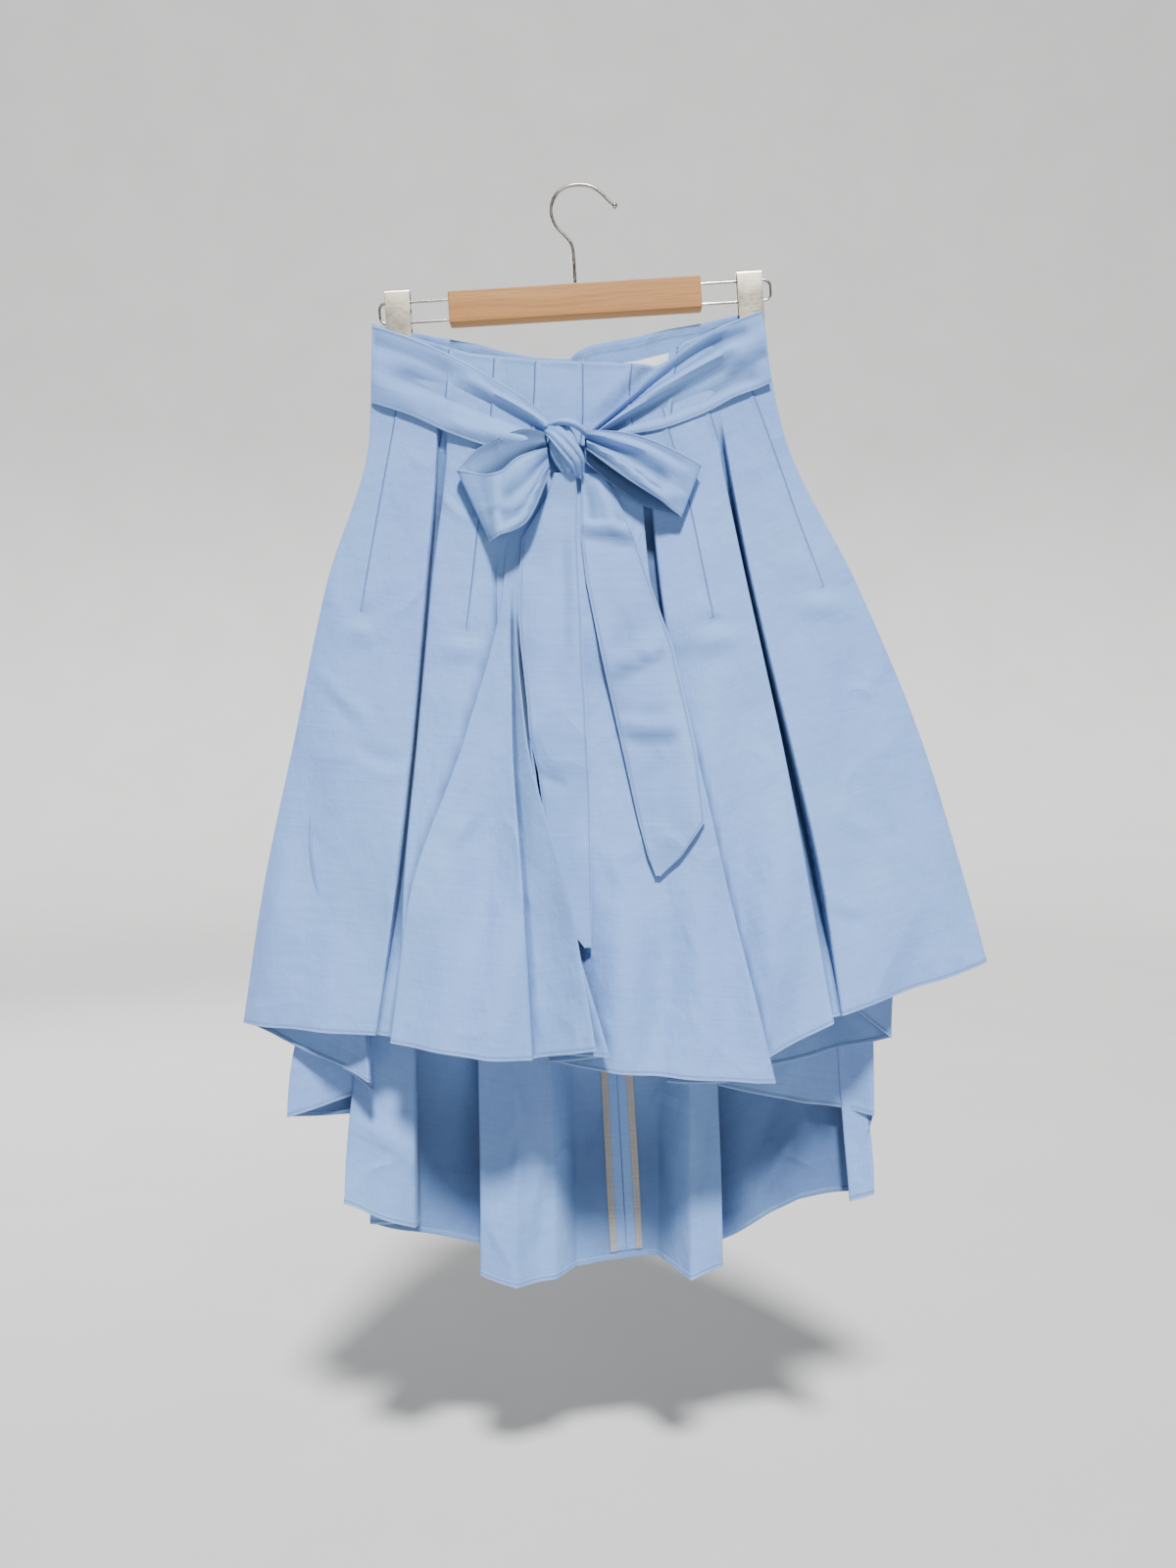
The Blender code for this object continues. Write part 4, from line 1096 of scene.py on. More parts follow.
# ---------------- the skirt
@dataclass
class Skirt:
    """Cloth of the skirt: one ring of folds at each height, sewn of a front and two backs."""

    finishes: Wardrobe
    wall: float = 0.62  # wall that shows, thinner than the frame's solid
    shut_spacing: float = 0.9  # half the distance between the lines of a shut fold
    levels: tuple[float, ...] = (-130.0, -215.0, -345.0, -475.0, -605.0)
    waist_z: float = -215.0
    flare_drop: float = 540.0
    hip_softness: float = 30.0
    waist_depth: float = 6.0
    front_depth: float = 72.0
    back_depth: float = 44.0
    top_narrowing: float = 335.0 / 354.0
    waist_left: float = -180.0
    rows: int = 112
    waist_rows: Path1 = (0.0, 0.0015, 0.004, 0.0065, 0.0078, 0.0091, 0.0105, 0.013)  # shares
    hem_rows: Path1 = (0.0, 0.5, 1.3, 2.1, 2.6, 3.1, 3.6, 4.2, 6.0)  # from the hem
    flute_columns: int = 6  # columns beyond the flutes' roots that are softened too
    off_backs: float = 1.8  # least distance of the front's pleats from the backs
    sheet_length: float = 600.0  # cloth from waist edge to hem that the rows count as
    turned_waist: float = 5.6  # width of the turned waist edge
    opens_at_once: tuple[float, float] = (0.65, 0.3)  # share of a fold's depth, front and back
    hem: float = 3.4  # width of the rolled hem
    hem_stitch: float = 2.6  # stitches above the hem's edge
    waist_stitch: float = 4.6
    front_edge: Path2 = ((-178, -121), (-140, -134), (-94, -148), (-38, -154), (23, -156), (61, -158),
                         (74, -153), (87, -138), (107, -131), (133, -121), (157, -110))
    back_left_edge: Path2 = ((-178, -121), (-141, -128), (-86, -137), (-69, -142), (-40, -148), (0, -149))
    back_right_edge: Path2 = ((-6, -144), (7, -137), (24, -134), (49, -130), (74, -124), (100, -120),
                              (134, -113), (157, -110))
    round_points: int = 4
    column_width: float = 4.7  # cloth between two columns at the hem
    columns_between: tuple[int, int] = (2, 30)  # fewest and most columns between two folds
    loosens_above: float = 35.0  # how far above its opening a fold starts to loosen
    loosens_over: float = 50.0  # drop over which it comes loose
    lap_shade: float = 0.7  # painted shade on the cloth right beside a lapped edge
    lap_depth: tuple[float, float] = (1.0, 2.5)  # depth where the painted shade beside a lap starts, and how much more makes it full
    pocket_depth: tuple[float, float] = (3.0, 14.0)  # depths in a pleat where its painted shade starts and where it is full
    pocket_reach: int = 6  # steps of 2 mm looked at on each side of a pleat
    valley_depth: tuple[float, float] = (2.0, 26.0)  # how far forward a crest stands where the painted valley shade starts to fade, and the rise that clears it
    valley_drop: tuple[float, float] = (420.0, 120.0)  # drop from the waist edge where the painted valley shade starts, and the drop over which it comes in full
    sheet: Array = field(init=False)
    levels_v: Array = field(init=False)
    starts: dict[str, int] = field(default_factory=dict)
    seams: list[int] = field(default_factory=list)
    edges: list[tuple[float, float]] = field(default_factory=list)
    edge_highlight: Array = field(init=False)
    front: Array = field(init=False)

    @property
    def from_waist(self) -> Array:
        """Cloth between the waist edge and each row, in millimetres."""
        return self.levels_v * self.sheet_length

    @property
    def from_hem(self) -> Array:
        """Cloth between each row and the hem, in millimetres."""
        return (1 - self.levels_v) * self.sheet_length

    def top_x(self, waist_x: float) -> float:
        """x on the waist edge of a line that stands at waist_x at the waist's lower edge."""
        return self.waist_left + 2 + (waist_x - self.waist_left) * self.top_narrowing

    def fold_x(self, fold: Fold, z: float) -> float:
        """x of a fold.

        Args:
            fold: the fold.
            z: height.

        Returns:
            x at that height.
        """
        values = (self.top_x(fold.waist), fold.waist, fold.hip, fold.thigh, fold.knee)
        if fold.course is Course.FOLLOW:
            return curve_through(self.levels + (fold.hem_z,), values + (fold.hem_x,), z)
        below = min(max((fold.opens - z) / (fold.opens - fold.hem_z), 0), 1)
        shut = curve_through(self.levels, values, z)
        return shut + (fold.hem_x - shut) * smooth(below)

    def across(self, x: float, z: float) -> float:
        """Place across the skirt.

        Args:
            x: place in millimetres.
            z: height.

        Returns:
            -1 at the left edge and 1 at the right one.
        """
        if not self.edges:
            self.edges = [(self.fold_x(LEFT_EDGE, -h), self.fold_x(RIGHT_EDGE, -h))
                          for h in range(0, OUTLINE_DROP, OUTLINE_STEP)]
        place = min(max(-z / OUTLINE_STEP, 0.0), len(self.edges) - 2.0)
        step = int(place)
        (left, right), (left_b, right_b) = self.edges[step], self.edges[step + 1]
        left, right = left + (left_b - left) * (place - step), right + (right_b - right) * (place - step)
        return (x - (left + right) / 2) / ((right - left) / 2)

    def plain_y(self, side: Side, x: float, z: float) -> float:
        """Depth of the plain flared skirt, without folds.

        Args:
            side: front or back.
            x: place across.
            z: height.

        Returns:
            y in millimetres.
        """
        lens = max(0.0, 1.0 - self.across(x, z) ** 2) ** 0.8
        drop = self.waist_z - z
        flare = (drop + math.hypot(drop, self.hip_softness)) / 2 / self.flare_drop
        depth = self.front_depth if side is Side.FRONT else self.back_depth
        return side.value * (self.waist_depth + depth * flare) * lens

    def loosened(self, fold: Fold, z: float) -> float:
        """0 where a fold is shut, 1 from just below the height where it opens."""
        return float(smooth((fold.opens + self.loosens_above - z) / self.loosens_over))

    def opened(self, fold: Fold, z: float) -> float:
        """How far a fold has opened.

        Args:
            fold: the fold.
            z: height.

        Returns:
            0 above it and 1 at the hem; a side edge is always open.
        """
        if fold.name.startswith(("left edge", "right edge")):
            return 1.0
        slow = min(max((fold.opens - z) / (fold.opens - fold.hem_z), 0), 1)
        early = self.opens_at_once[fold.side is Side.BACK]
        return early * self.loosened(fold, z) + (1 - early) * slow

    def insets(self, fold: Fold, z: float) -> tuple[float, ...]:
        """Insets of a fold.

        Args:
            fold: the fold.
            z: height.

        Returns:
            One inset for a bend, two for a turned fold.
        """
        if fold.inset_in == fold.inset_out:
            return (fold.inset_in,)
        if fold.name not in EASED:
            return (fold.inset_in, fold.inset_out)
        start, end, inset_in, inset_out = EASED[fold.name]
        share = float(smooth((start - z) / (start - end)))
        return (fold.inset_in + (inset_in - fold.inset_in) * share,
                fold.inset_out + (inset_out - fold.inset_out) * share)

    def waist_edge(self, side: Side, x: float, left_of_centre: bool) -> float:
        """Height of the waist's upper edge.

        Args:
            side: front or back.
            x: place across.
            left_of_centre: which half of the back.

        Returns:
            The height at x.
        """
        edge = self.front_edge if side is Side.FRONT else (
            self.back_left_edge if left_of_centre else self.back_right_edge)
        xs, zs = zip(*edge)
        return float(np.interp(x, xs, zs))

    def heights(self, fold: Fold, left_of_centre: bool, v: float) -> tuple[float, float]:
        """Height of the waist edge on the line of a fold, and height at v on that line."""
        top = self.waist_edge(fold.side, self.top_x(fold.waist), left_of_centre)
        return top, top + (fold.hem_z - top) * v

    def corners(self, v: float) -> list[Corner]:
        """Corners of one ring.

        Args:
            v: 0 at the waist edge and 1 at the hem.

        Returns:
            The corners, across the front and then round the backs.
        """
        out: list[Corner] = []
        for i, fold in enumerate(FOLDS):
            left = i >= CENTRE_BACK
            top, z = self.heights(fold, left, v)
            x, amount, outward = self.fold_x(fold, z), self.opened(fold, z), fold.side.value
            insets = self.insets(fold, z)
            kinds = (Kind.TURN_IN, Kind.TURN_OUT) if len(insets) == 2 else (Kind.BEND,)
            if i == CENTRE_BACK:
                kinds = (Kind.SEAM,)
            apart = self.shut_spacing * (1 - self.loosened(fold, z)) * (len(insets) - 1)
            for inset, way, kind in zip(insets, (outward, -outward), kinds):
                y = self.plain_y(fold.side, x, z) - outward * inset * amount
                out.append(Corner(x + way * apart, y, z, fold.soft, kind, fold.name))
            after = FOLDS[(i + 1) % len(FOLDS)]
            if after.side is not fold.side:
                out.append(Corner(x, 0.0, z, 0, Kind.SEAM, fold.name))
                continue
            top_b, z_b = self.heights(after, left, v)
            x_b = self.fold_x(after, z_b)
            start, end = insets[-1] * amount, self.insets(after, z_b)[0] * self.opened(after, z_b)
            hem = math.hypot(after.hem_x - fold.hem_x, after.hem_z - fold.hem_z)
            fewest, most = self.columns_between
            count = min(max(round(hem / self.column_width), fewest), most)
            for k in range(1, count + 1):
                t = k / (count + 1)
                xk, zk, inset = x + (x_b - x) * t, z + (z_b - z) * t, start + (end - start) * t
                waist_x = fold.waist + (after.waist - fold.waist) * t
                zk += (self.waist_edge(fold.side, self.top_x(waist_x), left)
                       - (top + (top_b - top) * t)) * (1 - v) ** 3
                y = self.plain_y(fold.side, xk, zk) - outward * inset
                out.append(Corner(xk, y, zk, 0, Kind.PLAIN, ""))
        return out

    def ring(self, v: float) -> tuple[Array, Array]:
        """One closed ring of cloth.

        Args:
            v: 0 at the waist edge and 1 at the hem.

        Returns:
            Its points, and how much painted highlight each takes on a pressed fold edge or seam.
        """
        corners = self.corners(v)
        points: list[Array] = []
        edge_highlight: list[float] = []
        self.seams = []
        for i, corner in enumerate(corners):
            here, kind = np.array(corner[:3]), corner.kind
            if corner.soft == 0:
                if kind is Kind.SEAM:
                    self.seams.append(len(points))
                points.append(here)
                edge_highlight.append(0.6 if kind is Kind.SEAM else 0.0)
                continue
            self.starts.setdefault(corner.fold, len(points))
            open_share = self.loosened(NAMED[corner.fold], corner.z) * 0.8
            back = np.array(corners[i - 1][:3]) - here
            ahead = np.array(corners[(i + 1) % len(corners)][:3]) - here
            back_run, ahead_run = np.linalg.norm(back), np.linalg.norm(ahead)
            if kind is Kind.TURN_IN:
                reach = min(corner.soft, 0.45 * back_run, max(0.5 * ahead_run, 0.3))
                a, b = here + back / back_run * reach, here + ahead * 0.5
            elif kind is Kind.TURN_OUT:
                reach = min(corner.soft, 0.45 * ahead_run, max(0.5 * back_run, 0.3))
                a, b = here + back * 0.5, here + ahead / ahead_run * reach
            else:
                reach = min(corner.soft, 0.45 * back_run, 0.45 * ahead_run)
                a, b = here + back / back_run * reach, here + ahead / ahead_run * reach
            for t in np.linspace(0, 1, self.round_points)[int(kind is Kind.TURN_OUT):]:
                points.append((1 - t) ** 2 * a + 2 * t * (1 - t) * here + t * t * b)
                crest = t if kind is Kind.TURN_IN else 1 - t
                edge_highlight.append(0.0 if kind is Kind.BEND else crest * open_share)
        return self.relaxed(np.array(points)), np.array(edge_highlight)

    @staticmethod
    def relaxed(points: Array, least: float = 0.45) -> Array:
        """Spread the points of a ring that stand too close together.

        Args:
            points: the ring.
            least: the spacing kept where there is room.

        Returns:
            The ring again.
        """
        for _ in range(2):
            before, after, later = (np.roll(points, k, axis=0) for k in (1, -1, -2))
            gap = np.linalg.norm(after - points, axis=1)
            tight = np.clip((least - gap) / (0.5 * least), 0, 1)[:, None]
            moves = tight * (before + (later - before) / 3 - points)
            partner = tight * (before + (later - before) * 2 / 3 - after)
            points = points + 0.5 * (moves + np.roll(partner, 1, axis=0))
        return points

    def drape(self) -> None:
        """Draw every ring, then lay the creases of each face into the sheet."""
        fine, gap = [d / self.sheet_length for d in self.hem_rows], 0.004
        inner = [v for v in np.linspace(0, 1, self.rows)
                 if self.waist_rows[-1] + gap < v < 1 - fine[-1] - gap]
        self.levels_v = np.array([*self.waist_rows, *inner, *(1 - d for d in fine[::-1])])
        rings = [self.ring(v) for v in self.levels_v]
        self.sheet = np.array([points for points, _ in rings])
        self.edge_highlight = np.array([edge_highlight for _, edge_highlight in rings])
        self.soften(self.starts["right flute root"] - self.flute_columns,
                    self.starts["left flute root"] + self.flute_columns, 2)
        right, _, left = self.seams
        for drape, first, last in ((FRONT_DRAPE, left, right), (BACK_DRAPE, right, left)):
            columns = self.span_columns(first, last)
            part = self.sheet[:, columns]
            x, z = part[:, :, 0], part[:, :, 2]
            self.sheet[:, columns, 1] += drape.side.value * drape.lift(x, z, self.middle_share(x, z))
        self.keep_inside(self.span_columns(left, right))

    def keep_inside(self, columns: list[int]) -> None:
        """Hold the pleats of the front off the backs where the skirt is still shallow.

        Args:
            columns: columns of the front.
        """
        part = self.sheet[:, columns]
        x, z = part[:, :, 0], part[:, :, 2]
        backs = np.array([[self.plain_y(Side.BACK, px, pz) for px, pz in zip(*line)] for line in zip(x, z)])
        spare = (self.off_backs + BACK_DRAPE.wave * looseness(z)) * self.middle_share(x, z)
        self.sheet[:, columns, 1] = np.minimum(part[:, :, 1], backs - spare)

    def soften(self, first: int, last: int, passes: int) -> None:
        """Round the folds between two columns, more towards the hem.

        Args:
            first: column where that starts.
            last: column where it ends.
            passes: how often each point moves towards its neighbours.
        """
        part = self.sheet[:, first:last + 1]
        share = (smooth(self.levels_v * 1.6 - 0.4))[:, None, None]
        for _ in range(passes):
            part[:, 1:-1] += share * 0.5 * ((part[:, :-2] + part[:, 2:]) / 2 - part[:, 1:-1])

    def middle_share(self, x: Array, z: Array) -> Array:
        """Share of the relief that the cloth takes.

        Args:
            x: places on the cloth.
            z: their heights.

        Returns:
            1 in the middle of a face, falling to 0 at the side seams.
        """
        edges, down = np.array(self.edges), np.arange(0, OUTLINE_DROP, OUTLINE_STEP)
        low, high = np.interp(-z, down, edges[:, 0]), np.interp(-z, down, edges[:, 1])
        across = (x - (low + high) / 2) / ((high - low) / 2)
        return 1 - np.clip(np.abs(across), 0, 1) ** 14

    def lift_front(self, x: Array, z: Array) -> Array:
        """Outward moves that the front's relief gives at some places."""
        return FRONT_DRAPE.lift(x, z, self.middle_share(x, z))

    def span_columns(self, first: int, last: int) -> list[int]:
        """Columns of the sheet from one to another, round the ring."""
        count = self.sheet.shape[1]
        return [(first + k) % count for k in range((last - first) % count + 1)]

    def groove_shade(self) -> Array:
        """Painted shade of each row in the sewn groove of the hem or of the waist edge."""
        return (0.7 * np.exp(-((self.from_hem - self.hem_stitch) / 0.9) ** 2)
                + 0.3 * np.exp(-((self.from_waist - self.waist_stitch) / 1.0) ** 2))

    def pleat_shade(self, grid: Array) -> Array:
        """Painted shade of each point deep in a pleat, behind cloth on both its sides, or beside a lapped
        edge.

        Args:
            grid: the panel's points.

        Returns:
            0 on the open cloth and 1 well inside.
        """
        tree, step, margin = tree_of(grid), 2.0, 30
        (least, most), (lap_least, lap_run) = self.pocket_depth, self.lap_depth
        xs = np.arange(grid[:, :, 0].min() - margin, grid[:, :, 0].max() + margin, step)
        zs = np.arange(grid[:, :, 2].max(), grid[:, :, 2].min(), -step * 2)
        depth = np.array([[front_depth(tree, x, z, 300.0) for x in xs] for z in zs])
        nearest = np.maximum(*(np.min([np.roll(depth, way * k, axis=1)
                                       for k in range(1, self.pocket_reach)], axis=0) for way in (1, -1)))
        column = np.clip(((grid[:, :, 0] - xs[0]) / step).round().astype(int), 0, len(xs) - 1)
        row = np.clip(((zs[0] - grid[:, :, 2]) / step / 2).round().astype(int), 0, len(zs) - 1)
        y = grid[:, :, 1]
        beside = [np.roll(depth, k, axis=1)[row, column] for k in (-2, -1, 1, 2)]
        lap = y - np.min(beside, axis=0) - np.maximum(np.maximum(beside[0], beside[3]) - y, 0)
        shade = self.lap_shade * smooth((lap - lap_least) / lap_run)
        for _ in range(3):
            shade[1:-1] = (shade[:-2] + shade[1:-1] + shade[2:]) / 3
        return np.maximum(smooth((y - nearest[row, column] - least) / (most - least)), shade)

    def valley_shade(self, grid: Array) -> Array:
        """Painted shade of each point of a back that stays behind the crests of the flutes.

        Args:
            grid: the panel's points.

        Returns:
            1 at the foot of a flute low on the back, 0 on its crest and up by the waist.
        """
        forward = np.array([[self.plain_y(Side.BACK, x, z) - y for x, y, z in line] for line in grid])
        near_hem = 1 - 0.5 * smooth((-grid[:, :, 2] - 850) / 100)
        (foot, crest), (start, run) = self.valley_depth, self.valley_drop
        low = smooth((self.from_waist - start) / run)[:, None]
        return (1 - smooth((forward - foot) / crest)) * low * near_hem

    def panel_walls(self) -> tuple[Array, Array]:
        """Wall on each side of the cloth for each row: thicker where an edge is turned up.

        Returns:
            Outer and inner wall, as columns of numbers.
        """
        half, away, top = self.wall / 2, self.from_hem, self.from_waist
        turned = (away < self.hem) | (top < self.turned_waist)
        groove = (np.exp(-((away - self.hem_stitch) / 0.4) ** 2)
                  + np.exp(-((top - self.waist_stitch) / 0.5) ** 2))
        rolled = np.where((away < 0.4) | (top < 0.4), -0.25, 0.0)
        outer = half + np.where(turned, 0.16, 0.0) - 0.26 * groove + rolled
        inner = half + np.where(turned, 0.62, 0.0) - 0.30 * groove + rolled
        return outer[:, None], inner[:, None]

    def shade(self, grid: Array, front: bool) -> Array:
        """Painted shade of a panel in each groove and pleat, and on its inner face.

        Args:
            grid: the panel's points.
            front: True for the front, False for a back.

        Returns:
            Painted shade of its outer and its inner face.
        """
        deep = np.stack([np.broadcast_to(self.groove_shade()[:, None], grid.shape[:2])] * 2)
        if front:
            deep = np.maximum(deep, self.pleat_shade(grid))
        # The inner face is a little darker everywhere; on a back it also takes painted shade in the valleys
        # between the flutes.
        deep[1] = np.maximum(deep[1], 0.08)
        if not front:
            deep[1] = np.maximum(deep[1], 0.06 + 0.84 * self.valley_shade(grid))
        return deep

    def build(self) -> None:
        """Make the three panels: front, right back and left back."""
        self.drape()
        right, back, left = self.seams
        outer, inner = self.panel_walls()
        # painted highlight along the edge of the hem, joined to the one on pressed folds and seams
        rim = np.clip(1.4 - self.from_hem / 2.0, 0, 1) * 0.9
        self.front = self.sheet[:, self.span_columns(left, right)]
        for name, first, last in (("skirt_front", left, right), ("skirt_back_right", right, back),
                                  ("skirt_back_left", back, left)):
            columns = self.span_columns(first, last)
            grid = self.sheet[:, columns]
            edge = np.maximum(self.edge_highlight[:, columns], rim[:, None])
            deep = self.shade(grid, name == "skirt_front")
            piece = belongs(add_shell(f"cloth_{name}", grid, outer, inner, self.finishes.cloth, edge, deep),
                            "cloth", name)

    def edge_runs(self) -> list[Array]:
        """Lines of stitches along the hem and the waist edge, on both faces of the cloth.

        Returns:
            Closed runs of points.
        """
        closed = np.concatenate((self.sheet, self.sheet[:, :1]), axis=1)
        normals = grid_normals(closed)
        outer, inner = self.panel_walls()
        runs = []
        for distance, rows in ((self.hem_stitch, self.from_hem), (self.waist_stitch, self.from_waist)):
            row = int(np.argmin(np.abs(rows - distance)))
            runs.append(closed[row] + normals[row] * (outer[row] + 0.05))
            runs.append(closed[row] - normals[row] * (inner[row] + 0.05))
        return runs


# ---------------- sewing
@dataclass(frozen=True)
class Sewing:
    """Runs of stitches, laid along lines by one node tree."""

    pitch: float = 2.3
    length: float = 1.7
    radius: float = 0.2
    uneven: tuple[float, float] = (0.42, 0.55)  # half lengths, as shares of the length
    seed: int = 7

    def sizes(self) -> dict[str, Any]:
        """Named inputs of the node tree, in metres."""
        return {"Pitch": self.pitch * MM, "Length": self.length * MM, "Radius": self.radius * MM,
                "Seed": self.seed}

    def tree(self, material: Material) -> bpy.types.NodeTree:
        """Node tree that turns lines into stitches.

        Args:
            material: thread.

        Returns:
            The tree, with its sizes as named inputs.
        """
        tree = bpy.data.node_groups.new("stitch_run", "GeometryNodeTree")
        add = tree.interface.new_socket
        add("Lines", in_out="INPUT", socket_type="NodeSocketGeometry")
        for name, value in self.sizes().items():
            kind = "NodeSocketInt" if isinstance(value, int) else "NodeSocketFloat"
            add(name, in_out="INPUT", socket_type=kind).default_value = value
        add("Stitches", in_out="OUTPUT", socket_type="NodeSocketGeometry")
        g = Nodes(tree)
        start = g.node("NodeGroupInput").outputs
        curve = g.node("GeometryNodeMeshToCurve", {0: start["Lines"]})
        points = g.node("GeometryNodeCurveToPoints", {0: curve.outputs[0], "Length": start["Pitch"]},
                        mode="LENGTH").outputs
        stitch = g.node("GeometryNodeMeshUVSphere", {"Segments": 6, "Rings": 4, "Radius": 1.0})
        turn = g.node("FunctionNodeAlignRotationToVector", {"Vector": points["Tangent"]}, axis="Z")
        uneven = g.node("FunctionNodeRandomValue", {
            2: self.uneven[0], 3: self.uneven[1], "Seed": start["Seed"]}, data_type="FLOAT")
        half = g.node("ShaderNodeMath", {0: start["Length"], 1: uneven.outputs[1]}, operation="MULTIPLY")
        size = g.node("ShaderNodeCombineXYZ", {
            "X": start["Radius"], "Y": start["Radius"], "Z": half.outputs[0]})
        copies = g.node("GeometryNodeInstanceOnPoints", {
            "Points": points["Points"], "Instance": stitch.outputs["Mesh"], "Rotation": turn.outputs[0],
            "Scale": size.outputs[0]})
        real = g.node("GeometryNodeRealizeInstances", {0: copies.outputs[0]})
        finish = g.node("GeometryNodeSetMaterial", {"Geometry": real.outputs[0], "Material": material})
        g.node("NodeGroupOutput", {0: finish.outputs[0]})
        return tree

    def sew(self, name: str, runs: Sequence[Array], material: Material, slot: str) -> None:
        """Lay stitches along lines, as one plain mesh.

        Args:
            name: name of the piece.
            runs: lines of points in millimetres.
            material: thread.
            slot: slot of the cloth that is sewn.
        """
        points, edges = [], []
        for run in runs:
            first = len(points)
            points += [tuple(p) for p in placed(run)]
            edges += [(first + i, first + i + 1) for i in range(len(run) - 1)]
        lines = bpy.data.meshes.new(name + "_lines")
        lines.from_pydata(points, edges, [])
        carrier = add_object(name + "_carrier", lines)
        modifier = carrier.modifiers.new("stitches", "NODES")
        modifier.node_group = self.tree(material)
        for item in modifier.node_group.interface.items_tree:
            if item.name in self.sizes():
                modifier[item.identifier] = self.sizes()[item.name]
        graph = bpy.context.evaluated_depsgraph_get()
        mesh = bpy.data.meshes.new_from_object(carrier.evaluated_get(graph))
        bpy.data.objects.remove(carrier)
        mesh.name = name
        mesh.polygons.foreach_set("use_smooth", [True] * len(mesh.polygons))
        if not mesh.materials:
            mesh.materials.append(material)
        belongs(add_object(name, mesh), slot)
        LOG.info("%s: %d runs", name, len(runs))


@dataclass
class Tucks:
    """Pressed tucks and darts that run down the front from its waist edge."""

    skirt: Skirt
    # Across each lap: offset and height in millimetres, and the painted shade in its groove.
    profile: tuple[tuple[float, float, float], ...] = (
        (-6.5, -0.15, 0.0), (-4.5, 0.14, 0.0), (-2.4, 0.5, 0.0), (-1.0, 0.78, 0.0), (-0.5, 0.85, 0.15),
        (-0.1, 0.82, 0.75), (0.2, 0.5, 1.0), (0.75, 0.08, 1.0), (1.15, -0.2, 0.5))
    sunk: float = -0.45
    stitch_in: float = 0.9  # stitches from the lap's edge
    stitch_up: float = 0.8  # and above the cloth

    def laps(self, tree: BVHTree) -> tuple[Array, list[Sequence[int]], list[Array], Array]:
        """Raised laps that lie on the front, and the stitch lines on them.

        Args:
            tree: surface of the front.

        Returns:
            Points, faces, lines of stitches and the painted shade of each point in the groove.
        """
        points: list[Array] = []
        deep: list[float] = []
        faces: list[Sequence[int]] = []
        runs = []
        for path in DARTS + TUCKS:
            line = spline(path, max(2, round(60 / len(path))))
            way = np.gradient(line, axis=0)
            way /= np.linalg.norm(way, axis=1)[:, None]
            rings, run = [], []
            for i, ((x, z), (dx, dz)) in enumerate(zip(line, way)):
                side = -1.0 if x < 0 else 1.0
                fade = min(1.0, 0.15 + (len(line) - 1 - i) / 9)
                top, base, shade = [], [], []
                for off, height, groove in self.profile:
                    px, pz = x - dz * off * side, z + dx * off * side
                    y = front_depth(tree, px, pz, 0.0) - self.skirt.wall / 2
                    top.append((px, y - height * fade, pz))
                    base.append((px, y - self.sunk, pz))
                    shade.append(groove * (0.5 + 0.5 * fade))
                ring, dark = top + base[::-1], shade + shade[::-1]
                rings.append(ring if side > 0 else ring[::-1])
                deep += dark if side > 0 else dark[::-1]
                sx, sz = x + dz * self.stitch_in * side, z - dx * self.stitch_in * side
                y = front_depth(tree, sx, sz, 0.0) - self.skirt.wall / 2
                run.append((sx, y - self.stitch_up * fade, sz))
            body, skin = tube_mesh(np.array(rings))
            faces += [[len(points) + i for i in face] for face in skin]
            points += list(body)
            runs.append(np.array(run))
        return np.array(points), faces, runs, np.array(deep)

    def build(self) -> list[Array]:
        """Make the laps.

        Returns:
            Lines for the stitches.
        """
        points, faces, runs, deep = self.laps(tree_of(self.skirt.front))
        uv = np.stack((points[:, 0], points[:, 2]), axis=1) * MM
        made = add_mesh("front_tucks", points, faces, self.skirt.finishes.cloth, 50.0, uv,
                        np.zeros(len(points)), deep)
        fix_outward(made)
        belongs(made, "cloth")
        LOG.info("front_tucks: %d tucks and darts", len(runs))
        return runs


